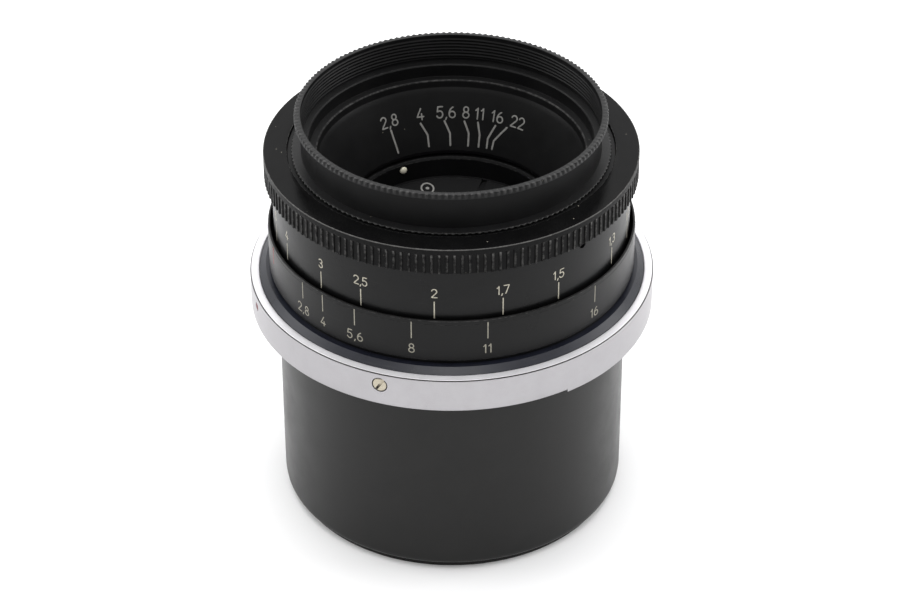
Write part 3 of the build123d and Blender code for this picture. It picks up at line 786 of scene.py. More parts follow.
SCALE_BLACK = black("anodised_scale", base=0.0042, rough=0.31, spec=0.165, worn=0.35, dust=0.2)
GRIP_BLACK = black("anodised_grip", base=0.0034, rough=0.46, spec=0.085, worn=0.9, scratch=0.12,
                   grey=0.11, dust=1.0, haze=0.006, speck_min=0.50,
                   polished_above=span("focus_ring")[1] - 0.03)
BOWL_BLACK = black("anodised_bowl", base=0.0080, rough=0.36, spec=0.25, worn=0.5, dust=0.5,
                   grey=0.12, haze=0.02)
BORE_BLACK = black("anodised_bowl_inside", base=0.0052, rough=0.44, spec=0.16, worn=0.35,
                   dust=0.8, grey=0.10, haze=0.01, speck_min=0.585, speck_side=0.5)
BLUED = black("blued_flange", base=0.011, rough=0.30, spec=0.42, worn=0.55, scratch=1.4,
              dust=0.35, tint=(0.80, 0.92, 1.55), grey=0.16, turned=1.2)
SATIN = black("satin_black", base=0.0062, rough=0.55, spec=0.09, worn=0.2, dust=0.3, haze=0.01)
CAP_BLACK = black("cap_black", base=0.0058, rough=0.35, spec=0.245, worn=0.25, scratch=0.2,
                  dust=0.12, tint=(1.03, 1.02, 0.97), grey=0.08, turned=0.15)
CHROME = metal("satin_chrome", base=(0.393, 0.384, 0.398), rough=0.38, grain=0.9, turned=0.35,
               dirt=0.6)
COLLAR_METAL = metal("bright_collar", base=(0.89, 0.88, 0.905), rough=0.42, grain=0.3,
                     turned=0.8, dirt=0.3, dull=0.6)
NICKEL = metal("screw_nickel", base=(0.44, 0.40, 0.32), rough=0.30, grain=0.4, turned=0.5,
               dirt=1.0)
BRASS = metal("brass_internal", base=(0.37, 0.285, 0.155), rough=0.42, grain=0.4, turned=1.0,
              dirt=0.9, dull=0.3)
# a spare in the set: no piece wears it
metal("turned_aluminium", base=(0.62, 0.62, 0.63), rough=0.34, grain=0.4, turned=1.0, dirt=0.5)
STEEL = metal("blued_steel", base=(0.26, 0.27, 0.30), rough=0.30, grain=0.4, turned=0.4, dirt=0.8)
BLADE_STEEL = metal("iris_steel", base=(0.075, 0.075, 0.08), rough=0.36, grain=0.6, turned=0.2,
                    dirt=0.5)
RED_DOT = enamel("red_enamel", (0.13, 0.006, 0.010), rough=0.42, chip=0.2, dark=(0.12, 0.01, 0.01))
CREAM_DOT = enamel("cream_enamel", (0.88, 0.84, 0.68), rough=0.22, chip=0.1,
                   dark=(0.4, 0.36, 0.26))
CREAM_FILL = enamel("cream_fill", (0.42, 0.395, 0.32), rough=0.45, chip=0.45,
                    dark=(0.08, 0.07, 0.055))
WORN_FILL = enamel("cream_fill_worn", (0.29, 0.275, 0.225), rough=0.45, chip=0.6,
                   dark=(0.06, 0.055, 0.045))
GREY_FILL = enamel("grey_fill", (0.28, 0.275, 0.26), rough=0.5, chip=0.4, dark=(0.05, 0.05, 0.05))
RED_FILL = enamel("red_fill", (0.26, 0.04, 0.035), rough=0.45, chip=0.35, dark=(0.08, 0.03, 0.03))
GLASS = glass("coated_glass")


def wear(ob, mat):
    ob.data.materials.clear()
    ob.data.materials.append(mat)


def dress(ob, mat, body, nodes=()):
    wear(ob, mat)
    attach(ob, body)
    if nodes:
        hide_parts(*nodes)


# Profiles below are (r, z) or (r, z, corner radius), in order round the section.

# ---------------------------------------------------------------- rear cap
z0, z1 = span("rear_cap")
cap_r = reach("rear_cap", z0 + 1.9, z1 - 1)
cap_in = reach("rear_cap", z0 + 2.4, z0 + 3.4, np.min)
cap_top = z1 - 0.5
cap = lathe("rear_cap_shell", [
    (0, z0 + 0.25), (14.0, z0 + 0.25, 0.4), (14.8, z0, 0.15), (cap_r - 1.02, z0, 0.12),
    (cap_r - 1.0, z0 + 0.93, 0.12), (cap_r - 0.62, z0 + 1.0, 0.2), (cap_r - 0.1, z0 + 1.35, 0.5),
    (cap_r, z0 + 2.1, 0.5), (cap_r, cap_top, 0.18), (cap_in, cap_top, 0.25),
    (cap_in, z0 + 3.4, 1.4), (cap_in - 1.3, z0 + 1.8, 0.6), (0, z0 + 1.8)], 288, steps=8)
lugs = lug_blocks(109.0, 19, cap_r - 0.8, reach("rear_cap"), z1 - 0.7, z1, width=0.12, seg=3)
cap = smooth(join("rear_cap_shell", [cap] + lugs))
dress(cap, CAP_BLACK, "rear_cap", ["rear_cap"])

# ---------------------------------------------------------------- bayonet band
z0, z1 = span("bayonet_ring")
band_r = reach("bayonet_ring")
LIP_DROP = 0.4                  # the band reaches this much lower between the lip azimuths
LIP_START, LIP_END = 106.9, 253.1
LIP_OFFSETS = (-0.12, -0.04, 0.04, 0.16)    # extra stations at the lip's ends, degrees
BORE = 26.0
band_z0 = z0 + LIP_DROP
seat = z1 - 0.55


def band_warp(A, R, Z, E):
    inside = (A >= LIP_START) & (A <= LIP_END)
    low = Z < band_z0 + 0.62
    share = np.clip((band_z0 + 0.62 - Z) / 0.62, 0, 1)
    return R, np.where(low & inside, Z - LIP_DROP * np.minimum(1, share * 1.25), Z), E


band_angles = sorted([round(k * 1.25, 4) for k in range(288)]
                     + [LIP_START + a for a in LIP_OFFSETS] + [LIP_END - a for a in LIP_OFFSETS])
band = lathe("bayonet_band", [
    (BORE, band_z0, 0.12), (band_r - 0.02, band_z0, 0.14), (band_r - 0.02, band_z0 + 0.75, 0),
    (band_r, band_z0 + 0.9, 0.1), (band_r, z1 - 0.09, 0.05), (band_r - 0.07, z1 - 0.06, 0.02),
    (band_r - 0.07, seat + 0.2, 0.0), (band_r - 0.20, seat + 0.15, 0.0),
    (band_r - 0.20, seat, 0.0), (BORE, seat, 0.1)], angles=band_angles, warp=band_warp)
mount_angles = thirds(53.35)
mount_z = sum(span("mount_screws")) / 2
dot_a, dot_z = azimuth_height("red_index_dot")
catch_top = span("lock_catch")[1] + 0.15
# screw heads, screw shanks, dot, then the stepped opening for the catch
band = cut(band, [rod(a, mount_z, 26.95, 29, 1.10) for a in mount_angles]
           + [rod(a, mount_z, 24, 27.2, 0.75) for a in mount_angles]
           + [rod(dot_a, dot_z, band_r - 0.5, 29, 0.62),
              arc_block(208.8, 248.2, BORE - 0.6, 27.65, z0 - 1, catch_top),
              arc_block(208.8, 220.7, BORE - 0.6, band_r + 0.6, z0 - 1, catch_top - 0.001)])
lugs = lug_blocks(169, 29, 24.4, BORE + 0.2, band_z0 + 0.04, band_z0 + 0.84, width=0.1, seg=2)
evaluated(bevel(band, 0.05, seg=2, deg=50))
band = smooth(join("bayonet_band", [band] + lugs), 35)
dress(band, CHROME, "barrel", ["bayonet_ring"])

# ---------------------------------------------------------------- collar above the band
collar_z0, collar_z1 = span("collar_ring")
collar_r = reach("collar_ring")
collar_in = reach("collar_ring", pick=np.min)


def collar_warp(A, R, Z, E):
    """Paint shade on the outer face below its top edge, where the narrow seam to the band lies in
    shadow.
    """
    return R, Z, np.where((R > collar_r + 0.04) & (Z < collar_z1 - 0.055), -1.3, E)


collar = smooth(lathe("collar", [
    (collar_in, collar_z0, 0.0), (band_r - 0.22, collar_z0, 0.0), (band_r - 0.22, seat + 0.16, 0.0),
    (collar_r + 0.06, seat + 0.2, 0.0), (collar_r + 0.06, collar_z1 - 0.06, 0.0),
    (collar_r + 0.06, collar_z1 - 0.03, 0.0), (collar_r + 0.03, collar_z1, 0.0),
    (27.45, collar_z1 + 0.01, 0.0), (collar_in + 0.42, collar_z1 + 0.05, 0.0),
    (collar_in + 0.10, collar_z1 + 0.02, 0.06), (collar_in, collar_z1 - 0.10, 0.04)],
    360, warp=collar_warp))
dress(collar, COLLAR_METAL, "barrel", ["collar_ring"])

# ---------------------------------------------------------------- mount screws and red dot
SCREW_HEAD = [(0, 0.0), (0.3, 0.002), (0.6, 0.01), (0.86, 0.025), (0.95, 0.045), (1.0, 0.10)]
heads = []
for azim, turn in zip(mount_angles, (-32, 6, 38)):
    heads.append(boss(azim, mount_z, band_r + 0.06, 0.96, SCREW_HEAD, slot=(0.34, 0.6, turn)))
    heads.append(rod(azim, mount_z, 24.62, band_r - 1.0, 0.7))
screws = smooth(join("mount_screw_heads", heads), 40)
dress(screws, NICKEL, "barrel", ["mount_screws"])

DOT_DOME = [(0, -0.06), (0.3, -0.052), (0.6, -0.02), (0.82, 0.03), (0.95, 0.10), (1.0, 0.2)]
dot = smooth(boss(dot_a, dot_z, band_r - 0.02, 0.56, DOT_DOME, seg=40, deep=0.5,
                  name="alignment_dot"), 50)
dress(dot, RED_DOT, "barrel", ["red_index_dot"])

# ---------------------------------------------------------------- helicoid housing
z0, z1 = span("helicoid_housing")
base_r = reach("helicoid_housing", 36.0, 36.4)
housing_r = reach("helicoid_housing", z1 - 2, z1 - 0.1)
housing_in = 22.28
flange_r = reach("helicoid_housing")
housing = smooth(lathe("helicoid_body", [
    (21.2, z0, 0.1), (22.4, z0, 0.2), (22.4, 32.7, 0.2), (25.95, 32.7, 0.12),
    (25.95, collar_z0, 0.0), (flange_r, collar_z0, 0.0), (flange_r, collar_z1 - 0.02, 0.0),
    (flange_r - 0.04, collar_z1 + 0.02, 0.0), (base_r, collar_z1 + 0.69, 0.03),
    (base_r - 0.05, collar_z1 + 0.70, 0.0), (housing_r, collar_z1 + 0.70, 0.0),
    (housing_r, z1 - 0.1, 0.1), (housing_r - 0.3, z1, 0.12), (housing_in, z1, 0.1),
    (housing_in, 35.0, 0.1), (19.85, 35.0, 0.1), (19.85, 34.3, 0.1), (21.2, 34.3, 0.1)], 288))
dress(housing, BLUED, "barrel", ["helicoid_housing"])

# ---------------------------------------------------------------- depth-of-field ring
dof_z0, dof_z1 = span("dof_scale_ring")
dof_r = reach("dof_scale_ring")
dof = smooth(lathe("dof_ring", [
    (housing_r + 0.05, dof_z0, 0.0), (24.9, dof_z0, 0.0), (24.9, dof_z0 + 0.55, 0.05),
    (dof_r, dof_z0 + 0.62, 0.12), (dof_r, dof_z1 - 0.62, 0.08), (dof_r - 0.03, dof_z1 - 0.58, 0.0),
    (dof_r - 0.03, dof_z1 - 0.1, 0.1), (dof_r - 0.2, dof_z1, 0.08), (24.92, dof_z1, 0.12),
    (24.9, dof_z1 - 1.3, 0.05), (24.62, dof_z1 - 1.6, 0.05), (24.62, dof_z0 + 1.2, 0.1),
    (housing_r + 0.05, dof_z0 + 1.2, 0.0)], 360))
dress(dof, SCALE_BLACK, "barrel", ["dof_scale_ring"])

# ---------------------------------------------------------------- focus ring: distance cylinder
focus_z0, focus_z1 = span("focus_ring")
grip_r = reach("focus_ring")
scale_r = reach("focus_ring", focus_z0 - 0.1, 45)
skirt_in = reach("focus_ring", focus_z0 - 0.1, 45, np.min)
grip_z0 = focus_z1 - 3.80
teeth_top = focus_z1 - 0.80
set_z = sum(span("focus_set_screws")) / 2
set_angles = thirds(118.2)
cyl = lathe("distance_cylinder", [
    (skirt_in, focus_z0, 0.12), (scale_r, focus_z0, 0.12), (scale_r, grip_z0 - 0.55, 0.0),
    (scale_r - 0.035, grip_z0 - 0.5, 0.0), (scale_r - 0.035, grip_z0 + 0.4, 0.0),
    (22.3, grip_z0 + 0.4, 0.0), (22.3, 47.5, 0.1), (skirt_in, 47.5, 0.3)], 360)
cyl = smooth(cut(cyl, [rod(a, set_z, 21, 26, 0.62) for a in set_angles]))
dress(cyl, SCALE_BLACK, "head", ["focus_ring"])

# ---------------------------------------------------------------- focus ring: knurled grip
KNURL_TEETH = 160
KNURL_SHARES = (-0.14, 0.0, 0.14, 0.17, 0.20, 0.5, 0.80, 0.83)


def knurl_warp(A, R, Z, E):
    groove = np.clip((from_ridge(A, KNURL_TEETH) - 0.14) / 0.06, 0, 1)
    fade = np.clip((teeth_top + 0.02 - Z) / 0.10, 0, 1)
    fade = fade * np.clip((Z - (grip_z0 - 0.01)) / 0.02, 0, 1)
    outer = R > grip_r - 0.75
    depth = 0.15 * groove * fade * outer
    cut_zone = outer & (fade > 0.5)
    ridge_edge = 0.40 + 0.3 * np.clip(E, 0, 1)
    # grooves take a slight painted shade (edge below zero); ridges rub in patches
    E2 = np.where(cut_zone, np.where(groove > 0.5, -0.1, ridge_edge), E)
    # a band below the teeth top rubs in patches, partly wear and partly painted glints on the tooth
    # tips
    E2 = np.where(cut_zone & (Z > teeth_top - 0.2) & (groove < 0.5), 1.0, E2)
    # the top rim gets a forced rub all round, partly wear and partly a painted highlight, strongest
    # at azimuth 72 on the camera's side
    rim = (Z > focus_z1 - 0.09) & (R > grip_r - 0.13)
    E2 = np.where(rim, 1.62 + 0.33 * np.cos(np.radians(A - 72.0)), E2)
    return R - depth, Z, E2


grip = smooth(lathe("grip_ring", [
    (scale_r - 0.25, grip_z0 + 0.05, 0.0), (grip_r - 0.62, grip_z0 + 0.05, 0.0),
    (grip_r - 0.3, grip_z0, 0.0), (grip_r - 0.05, grip_z0 + 0.02, 0.0),
    (grip_r, grip_z0 + 0.07, 0.0), (grip_r, grip_z0 + 0.3, 0.0), (grip_r, grip_z0 + 1.2, 0.0),
    (grip_r, teeth_top - 0.6, 0.0), (grip_r, teeth_top - 0.12, 0.0),
    (grip_r, teeth_top - 0.05, 0.0), (grip_r, teeth_top + 0.01, 0.0),
    (grip_r, teeth_top + 0.10, 0.0), (grip_r, focus_z1 - 0.12, 0.0),
    (grip_r, focus_z1 - 0.075, 0.0), (grip_r - 0.03, focus_z1 - 0.03, 0.0),
    (grip_r - 0.08, focus_z1, 0.0), (grip_r - 0.15, focus_z1, 0.0), (24.2, focus_z1 - 0.01, 0.0),
    (22.9, focus_z1 - 0.02, 0.0), (22.26, focus_z1 - 0.03, 0.08), (22.26, focus_z1 - 3.0, 0.0),
    (scale_r - 0.25, focus_z1 - 3.0, 0.0)],
    angles=tooth_angles(KNURL_TEETH, KNURL_SHARES), warp=knurl_warp), 38)
dress(grip, GRIP_BLACK, "head", ["focus_ring"])

# set screws under the grip: sunk, slotted
SET_HEAD = [(0, 0.0), (0.5, 0.0), (0.86, 0.01), (0.96, 0.04), (1.0, 0.1)]
set_screws = [boss(a, set_z, scale_r - 0.42, 0.57, SET_HEAD, slot=(0.22, 0.35, turn), seg=32,
                   deep=1.6) for a, turn in zip(set_angles, (20, 70, 120))]
set_screws = smooth(join("set_screws", set_screws), 40)
dress(set_screws, STEEL, "head", ["focus_set_screws"])

# ---------------------------------------------------------------- aperture ring: outer shell
ring_z0, rim_z = span("aperture_ring")
foot_r = reach("aperture_ring", 54.3, 55.05)
bevel_z = rim_z - 0.45
bevel_r = reach("aperture_ring", 59.2, 59.9)
wall_r = reach("aperture_ring", 56, 59.1)
MILL_TEETH = 156
MILL_SHARES = (-0.07, 0.0, 0.07, 0.19, 0.31, 0.5, 0.69, 0.81)


def mill_warp(A, R, Z, E):
    """Notches round the rim and round the foot, with painted shade in the notches and a rub on the
    tooth tips that is partly wear and partly a painted highlight.
    """
    notch = np.clip((from_ridge(A, MILL_TEETH) - 0.09) / 0.34, 0, 1)
    top = np.clip((Z - (rim_z - 0.56)) / 0.08, 0, 1) * np.clip((R - 20.46) / 0.22, 0, 1)
    foot = (Z < 54.64) & (R > 21.5)
    depth = 0.20 * notch * top + 0.16 * notch * foot
    rim_edge = 0.18 + 0.42 * np.clip((Z - rim_z + 0.2) / 0.1, 0, 1) * (R > 20.8)
    # notches get painted shade (edge below zero); tooth tips rub more towards the rim top, partly a
    # painted highlight
    tooth_edge = np.where(notch > 0.5, -0.5, np.where(top > 0.4, rim_edge, 0.55))
    Z2 = Z - 0.05 * notch * top * np.clip((Z - bevel_z) / 0.2, 0, 1)
    return R - depth, Z2, np.where((top > 0.4) | foot, tooth_edge, E)


shell = smooth(lathe("bowl_shell", [
    (20.30, 54.35, 0.0), (foot_r + 0.27, 54.35, 0.03), (foot_r + 0.33, 54.42, 0.0),
    (foot_r + 0.33, 54.55, 0.0), (foot_r + 0.26, 54.62, 0.0), (foot_r - 0.05, 54.64, 0.0),
    (wall_r + 0.05, 54.66, 0.05), (wall_r, 54.80, 0.0), (wall_r, rim_z - 0.86, 0.0),
    (wall_r + 0.05, rim_z - 0.78, 0.0), (bevel_r - 0.02, rim_z - 0.68, 0.0),
    (bevel_r, rim_z - 0.61, 0.0), (bevel_r, rim_z - 0.53, 0.0), (bevel_r, rim_z - 0.14, 0.0),
    (bevel_r - 0.09, rim_z - 0.015, 0.0), (20.88, rim_z, 0.0), (20.72, rim_z, 0.0),
    (20.55, rim_z, 0.0), (20.44, rim_z, 0.0), (20.40, rim_z - 0.02, 0.0),
    (20.32, rim_z - 0.03, 0.0), (20.30, rim_z - 0.1, 0.0)],
    angles=tooth_angles(MILL_TEETH, MILL_SHARES), warp=mill_warp), 38)
dress(shell, BOWL_BLACK, "aperture", ["aperture_ring"])

# ---------------------------------------------------------------- aperture ring: threaded liner
THREAD_R, THREAD_Z0, PITCH = 20.25, 56.05, 0.5
CONE = (14.4, 44.8, 17.6, 52.4)     # r, z at the bottom, then at the top; carries the figures


def thread_warp(A, R, Z, E):
    zone = np.clip((Z - (THREAD_Z0 + 0.30)) / 0.15, 0, 1)
    zone = zone * np.clip((rim_z - 0.45 - Z) / 0.12, 0, 1) * (np.abs(R - THREAD_R) < 0.02)
    phase = ((Z / PITCH) - A / 360.0) % 1.0
    root = np.clip((1 - np.abs(2 * phase - 1) - 0.12) / 0.76, 0, 1)     # 0 crest .. 1 root
    # roots take edge values below zero, painted shade in the thread roots; crests rub faintly
    return R - 0.13 * zone * (1 - root), Z, np.where(zone > 0.5, (0.5 - root) * 0.3, E)


thread_rows = [(THREAD_R, z, 0.0) for z in np.arange(THREAD_Z0 + 0.25, rim_z - 0.35, PITCH / 8)]
liner = smooth(lathe("bowl_liner", [
    (14.4, ring_z0 + 0.2, 0.05), (15.3, ring_z0, 0.05), (17.1, 48.4, 0.05), (17.68, 48.4, 0.03),
    (17.68, 50.0, 0.03), (18.5, 50.0, 0.05), (18.5, 53.1, 0.05), (20.25, 53.1, 0.05),
    (20.25, 54.42, 0.0), (20.36, 54.5, 0.0), (20.36, rim_z - 0.12, 0.0),
    (20.33, rim_z - 0.01, 0.02), (THREAD_R + 0.03, rim_z - 0.01, 0.02),
    (THREAD_R, rim_z - 0.12, 0.0), (THREAD_R, rim_z - 0.3, 0.0), *reversed(thread_rows),
    (THREAD_R, THREAD_Z0 + 0.12, 0.0), (THREAD_R + 0.08, THREAD_Z0 + 0.08, 0.0),
    (THREAD_R + 0.08, THREAD_Z0 - 0.02, 0.03), (19.42, THREAD_Z0 - 0.14, 0.06),
    (19.28, THREAD_Z0 - 0.30, 0.08), (19.28, 54.0, 0.06), (18.22, 54.0, 0.26),
    (18.12, 52.95, 0.25), (CONE[2], CONE[3] - 0.1, 0.0), (CONE[0], CONE[1], 0.08)],
    360, warp=thread_warp), 45)
dress(liner, BORE_BLACK, "aperture", ["aperture_ring"])

# ---------------------------------------------------------------- inner barrel and its dot
z0, z1 = span("optical_barrel")
MOUTH_R = 14.0
barrel_r = reach("optical_barrel", 35, 44)
barrel = lathe("inner_barrel", [
    (13.45, z0, 0.08), (15.9, z0, 0.2), (15.9, 28.3, 0.08), (barrel_r, 28.3, 0.1),
    (barrel_r, z1 - 0.1, 0.1), (barrel_r - 0.35, z1, 0.12), (MOUTH_R + 0.3, z1, 0.2),
    (MOUTH_R, z1 - 0.3, 0.2), (MOUTH_R, 40.75, 0.04), (13.85, 40.7, 0.04), (13.85, 24.6, 0.05),
    (12.0, 24.6, 0.05), (12.0, 22.0, 0.05), (13.45, 22.0, 0.05)], 288)
index_a, index_z = azimuth_height("index_dot")
z0, z1 = span("index_dot")
index_r = (z1 - z0) / 2
barrel = cut(barrel, [rod(index_a, index_z, MOUTH_R - 0.5, MOUTH_R + 0.6, index_r + 0.05),
                      arc_block(-153.2, -92.0, 13.0, 18.0, 29.7, 31.1)])
dress(smooth(barrel), SATIN, "head", ["optical_barrel"])

INDEX_RISE = 0.30       # the dot bulges this far towards the axis
index_rings = [(math.sin(t) * index_r, MOUTH_R - INDEX_RISE * math.cos(t))
               for t in (0.25, 0.5, 0.8, 1.1, 1.35, 1.5708)] + [(index_r, MOUTH_R + 0.35)]
index_dot = smooth(stud("aperture_index_dot", index_a, index_z, MOUTH_R - INDEX_RISE,
                        index_rings, seg=36), 50)
dress(index_dot, CREAM_DOT, "head", ["index_dot"])

# ---------------------------------------------------------------- name ring
z0, z1 = span("name_ring")
name_r = reach("name_ring")
name_top = z1 + 0.25
NAME_FACE = (10.15, name_top - 0.96, 13.0, name_top - 0.2)      # inner r, z, outer r, z
name_ring = lathe("front_name_ring", [
    (9.95, z0, 0.08), (10.6, z0, 0.05), (10.6, 39.22, 0.02), (name_r, 39.22, 0.05),
    (name_r, name_top - 0.02, 0.06), (name_r - 0.10, name_top, 0.04),
    (name_r - 0.42, name_top, 0.06), (name_r - 0.55, name_top - 0.16, 0.08),
    (*NAME_FACE[2:], 0.04), (*NAME_FACE[:2], 0.08), (9.95, name_top - 1.12, 0.08)], 288)
name_ring = cut(name_ring, [slab(a, name_top + 0.1, 11.4, 14.4, 0.8, 1.2) for a in (-127, 53)])
dress(smooth(name_ring), SATIN, "head", ["name_ring"])

# ---------------------------------------------------------------- glass
# name; front surface: z on the axis, radius of curvature (positive bulges to the front),
# clear radius; the same three for the rear surface; outer radius
LENSES = [
    ("lens_1", 39.4, 17.5, 10.6, 34.9, 34.0, 10.6, 10.6),
    ("lens_2", 34.0, 18.0, 8.6, 31.01, 60.0, 8.6, 8.6),
    ("lens_3", 30.99, 60.0, 8.6, 30.2, 10.5, 6.6, 8.6),
    ("lens_4", 23.9, 80.0, 7.2, 22.01, 11.0, 7.2, 7.2),
    ("lens_5", 21.99, 11.0, 7.2, 15.6, -11.5, 7.2, 7.2),
    ("lens_6", 11.6, -9.8, 8.6, 6.4, -16.0, 11.8, 11.8),
]


def lens_face(z_axis, curve, clear_r, outer_r, steps=12):
    """Profile of a spherical face from the axis out, with a flat shoulder if one is left."""
    points = []
    for i in range(steps + 1):
        r = clear_r * i / steps
        sag = abs(curve) - math.sqrt(curve * curve - r ** 2)
        points.append((r, z_axis - math.copysign(sag, curve), 0.0))
    if outer_r > clear_r:
        points.append((outer_r, points[-1][1], 0.0))
    points[-1] = (*points[-1][:2], 0.06)
    return points


for name, *surfaces, outer_r in LENSES:
    profile = lens_face(*surfaces[3:], outer_r) + lens_face(*surfaces[:3], outer_r)[::-1]
    dress(smooth(lathe(name + "_glass", profile, 160), 30), GLASS, "head", [name])

# ---------------------------------------------------------------- rear cell
z0, _ = span("rear_cell")
cell_r = reach("rear_cell")
cell = smooth(lathe("rear_glass_cell", [
    (11.86, z0, 0.1), (cell_r - 0.5, z0, 0.15), (cell_r, z0 + 0.6, 0.2), (cell_r, 21.95, 0.1),
    (11.95, 21.95, 0.05), (11.95, 24.45, 0.1), (7.25, 24.45, 0.05), (7.25, 18.08, 0.0),
    (6.9, 17.82, 0.0), (6.9, 17.3, 0.03), (10.9, 17.3, 0.05), (10.9, 16.75, 0.05),
    (11.86, 16.75, 0.03), (11.86, 8.6, 0.0), (11.80, 8.5, 0.0), (11.86, 8.4, 0.0)], 256))
dress(cell, SATIN, "head", ["rear_cell"])


# ---------------------------------------------------------------- figures and marks
def mark_set(name, mat, body, marks):
    """Join marks, each (strokes, place, stroke width), into one piece."""
    parts = [stroke_mesh("part", *mark, jitter=0.06, seed=i + 3) for i, mark in enumerate(marks)]
    dress(smooth(join(name, parts), 60, weighted=False), mat, body)


# figure and its azimuth, mirrored on both sides of the index line
DOF_MARKS = [("2,8", 21.4), ("4", 30.6), ("5,6", 42.8), ("8", 61.2), ("11", 84.15), ("16", 122.4)]
dof_tick = [[(0, dof_z0 + 4.0), (0, dof_z1 - 0.45)]]
marks = []
for text, azim in DOF_MARKS:
    for a in (azim, -azim):
        marks.append((dof_tick, on_cylinder(a, dof_r, 0), 0.15))
        marks.append((layout(text, 1.42, gap=0.15, comma=0.20),
                      on_cylinder(a, dof_r, dof_z0 + 2.33), 0.155))
mark_set("dof_figures", WORN_FILL, "barrel", marks)
mark_set("focus_index_line", RED_FILL, "barrel",
         [(dof_tick, on_cylinder(0, dof_r, 0), 0.26)])

# distance figure and its azimuth
DISTANCES = [("inf", -48.1), ("20", -36.9), ("10", -25.5), ("5", -2.7), ("4", 8.9), ("3", 28.35),
             ("2,5", 44.1), ("2", 68.0), ("1,7", 89.3), ("1,5", 108.5), ("1,3", 134.6),
             ("1,2", 150.1), ("1,1", 169.4), ("1", 192.8)]
marks = []
for text, azim in DISTANCES:
    marks.append(([[(0, grip_z0 - 7.63), (0, grip_z0 - 5.08)]],
                  on_cylinder(azim, scale_r, 0), 0.16))
    marks.append((layout(text, 1.1 if text == "inf" else 1.34, gap=0.13, comma=0.12),
                  on_cylinder(azim, scale_r, grip_z0 - 3.73), 0.155))
mark_set("distance_figures", CREAM_FILL, "head", marks)

# aperture figure, its line as (azimuth, share of the cone's slant), azimuth of the figure
APERTURES = [
    ("2,8", [(-74.72, 0.495), (-76.117, 0.084)], -74.759),
    ("4", [(-90.964, 0.495), (-94.077, 0.283), (-94.223, 0.085)], -91.204),
    ("5,6", [(-103.23, 0.50), (-105.95, 0.286), (-106.116, 0.08)], -104.079),
    ("8", [(-113.285, 0.5), (-115.835, 0.298), (-115.863, 0.083)], -113.895),
    ("11", [(-120.195, 0.501), (-121.716, 0.291), (-121.776, 0.084)], -120.855),
    ("16", [(-129.428, 0.495), (-126.352, 0.248), (-126.423, 0.088)], -129.858),
    ("22", [(-135.691, 0.508), (-129.844, 0.232), (-129.484, 0.087)], -140.941),
]
MM_PER_DEGREE = 0.28    # width of a degree where the lines are laid out flat
slant = math.hypot(CONE[2] - CONE[0], CONE[3] - CONE[1])
marks = []
for text, line, azim in APERTURES:
    marks.append(([[(a * MM_PER_DEGREE, t * slant) for a, t in line]],
                  on_cone(CONE, mm_per_degree=MM_PER_DEGREE), 0.27))
    marks.append((layout(text, 1.64, gap=0.14, comma=0.17), on_cone(CONE, azim, 0.655), 0.20))
mark_set("aperture_figures", GREY_FILL, "aperture", marks)

# plain ring and point on the name ring
mark = stroke_mesh("name_ring_mark", [arc(0, 0.3, 0.86, 0.95, 0, 360, 40),
                                      arc(0, 0.3, 0.14, 0.14, 0, 360, 12)],
                   on_cone(NAME_FACE, -90.0, 0.5), 0.24)
dress(mark, GREY_FILL, "head")

# ---------------------------------------------------------------- CAD nodes that stay in view
KEPT = {
    "sleeve_retaining_ring": BRASS, "focus_stop_screw": STEEL, "catch_pin": STEEL,
    "catch_spring": STEEL, "coupling_sleeve": BRASS, "drive_keys": STEEL, "key_screws": STEEL,
    "head_barrel": BORE_BLACK, "barrel_lock_ring": SATIN, "front_cell": SATIN,
    "front_spacer": SATIN, "iris_base": SATIN, "doublet_retainer": SATIN, "rear_retainer": SATIN,
    "aperture_sleeve": SATIN, "iris_cam_ring": BRASS, "cam_drive_screw": STEEL,
    "lock_catch": CHROME, **{f"iris_blade_{k}": BLADE_STEEL for k in range(1, 6)},
}
KEPT_BEVEL = {"lock_catch": 0.08, "coupling_sleeve": 0.06, "barrel_lock_ring": 0.08,
              "sleeve_retaining_ring": 0.05, "head_barrel": 0.08}      # 0.03 for the others
for name, mat in KEPT.items():
    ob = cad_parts[name]
    if ob.hide_render:
        continue
    wear(ob, mat)
    ob.modifiers.new("weld", "WELD").merge_threshold = 2e-7
    bevel(ob, KEPT_BEVEL.get(name, 0.03), seg=2, deg=40)
    weight_normals(ob)


# ---------------------------------------------------------------- floor (metres from here on)
def paper():
    """White paper with a faint glow."""
    m = Mat("paper")
    cloud = m.noise(scale=0.02, detail=4, rough=0.6)
    fine = m.noise(scale=1.3, detail=3, rough=0.6)
    return m.set(base=m.mix(m.ramp(cloud, (0.3, 0.7)), (0.90, 0.90, 0.905), (0.93, 0.93, 0.93)),
                 rough=m.ramp(fine, (0.3, 0.7), (0.75, 0.85)), spec=0.1,
                 normal=m.bump(fine, strength=0.05, distance=0.00002),
                 glow=(1.0, 1.0, 1.0), glow_strength=0.04)


FLOOR_RINGS, FLOOR_SEG = (0.05, 0.2, 0.6, 1.6, 3.0), 64
paper_mat = paper()
floor_verts = [(0.0, 0.0, 0.0)]
for r in FLOOR_RINGS:
    for k in range(FLOOR_SEG):
        t = 2 * math.pi * k / FLOOR_SEG
        floor_verts.append((r * math.cos(t), r * math.sin(t), 0.0))
floor = to_object("floor", floor_verts, fan_faces(len(FLOOR_RINGS), FLOOR_SEG))
floor.data.materials.append(paper_mat)
floor.location.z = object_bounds()[0][2] - 0.00002
floor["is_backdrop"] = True

# ---------------------------------------------------------------- view direction
CAM_AZIMUTH, CAM_ELEVATION = math.radians(73.4), math.radians(35.03)
CAM_DISTANCE = 0.410
CAM_ROLL = math.radians(-0.216)
AIM_HEIGHT = 0.029      # of the camera's target above the bottom of the lens
LIGHT_AIM = (0, 0, 0.03)

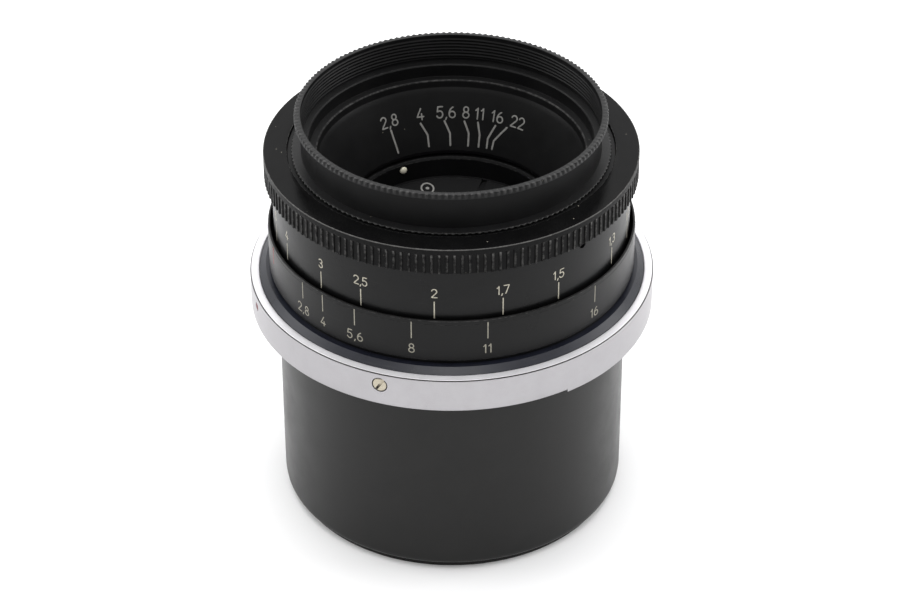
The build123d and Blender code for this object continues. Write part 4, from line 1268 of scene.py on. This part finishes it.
lo, hi = [Vector(c) for c in START]
target = Vector(((lo.x + hi.x) / 2, (lo.y + hi.y) / 2, lo.z + AIM_HEIGHT))
to_cam = Vector((math.sin(CAM_AZIMUTH) * math.cos(CAM_ELEVATION),
                 -math.cos(CAM_AZIMUTH) * math.cos(CAM_ELEVATION), math.sin(CAM_ELEVATION)))

# ---------------------------------------------------------------- world: darker on the camera's side
world = bpy.data.worlds.new("tent")
bpy.context.scene.world = world
world.use_nodes = True
tree = world.node_tree
tree.nodes.clear()
world_out = tree.nodes.new("ShaderNodeOutputWorld")
background = tree.nodes.new("ShaderNodeBackground")
coord = tree.nodes.new("ShaderNodeTexCoord")
facing = tree.nodes.new("ShaderNodeVectorMath")
facing.operation = "DOT_PRODUCT"
tree.links.new(coord.outputs["Generated"], facing.inputs[0])
facing.inputs[1].default_value = Vector((to_cam.x, to_cam.y, 0.15)).normalized()
fall = tree.nodes.new("ShaderNodeMapRange")
fall.interpolation_type = "SMOOTHSTEP"
# facing from -0.2 to 0.95 takes the strength from 1.12 to 0.62
for i, v in enumerate((-0.2, 0.95, 1.12, 0.62), start=1):
    fall.inputs[i].default_value = v
tree.links.new(facing.outputs["Value"], fall.inputs[0])
tree.links.new(fall.outputs[0], background.inputs["Strength"])
background.inputs["Color"].default_value = (1.0, 1.0, 1.0, 1.0)
tree.links.new(background.outputs[0], world_out.inputs[0])


# ---------------------------------------------------------------- lights
def area(name, loc, size, power):
    light = bpy.data.lights.new(name, "AREA")
    light.shape = "RECTANGLE"
    light.size, light.size_y = size
    light.energy = power
    light.color = (1, 1, 1)
    ob = bpy.data.objects.new(name, light)
    bpy.context.scene.collection.objects.link(ob)
    ob.location = loc
    ob.rotation_euler = (Vector(LIGHT_AIM) - loc).to_track_quat("-Z", "Y").to_euler()
    ob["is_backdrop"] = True


right = Vector((-to_cam.y, to_cam.x, 0)).normalized()
back = Vector((-to_cam.x, -to_cam.y, 0)).normalized()
front = Vector((to_cam.x, to_cam.y, 0))
side_lift = Vector((0, 0, 0.35))
area("top_soft", Vector((0, 0, 0.9)) + back * 0.25, size=(0.8, 0.8), power=4.4)
area("front_top", front * 0.5 + Vector((0, 0, 0.85)), size=(0.5, 0.5), power=1.8)
area("left_soft", right * -0.8 + side_lift + back * 0.1, size=(0.5, 0.6), power=2.2)
area("right_soft", right * 0.8 + side_lift + back * 0.1, size=(0.5, 0.6), power=2.6)

# ---------------------------------------------------------------- camera
cam_data = bpy.data.cameras.new("camera")
cam = bpy.data.objects.new("camera", cam_data)
bpy.context.scene.collection.objects.link(cam)
cam_x = Vector((0, 0, 1)).cross(to_cam).normalized()
cam_turn = Matrix((cam_x, to_cam.cross(cam_x), to_cam)).transposed().to_4x4()
cam.matrix_world = (Matrix.Translation(target + to_cam * CAM_DISTANCE) @ cam_turn
                    @ Matrix.Rotation(CAM_ROLL, 4, "Z"))
cam_data.sensor_width = 36.0
cam_data.lens = 116.85
cam_data.shift_x = -0.00207
cam_data.clip_start = 0.01
cam_data.clip_end = 20
bpy.context.scene.camera = cam
view = bpy.context.scene.view_settings
view.view_transform = "Standard"
view.look = "None"
view.exposure = 0.0
view.gamma = 1.0

bpy.context.view_layer.update()
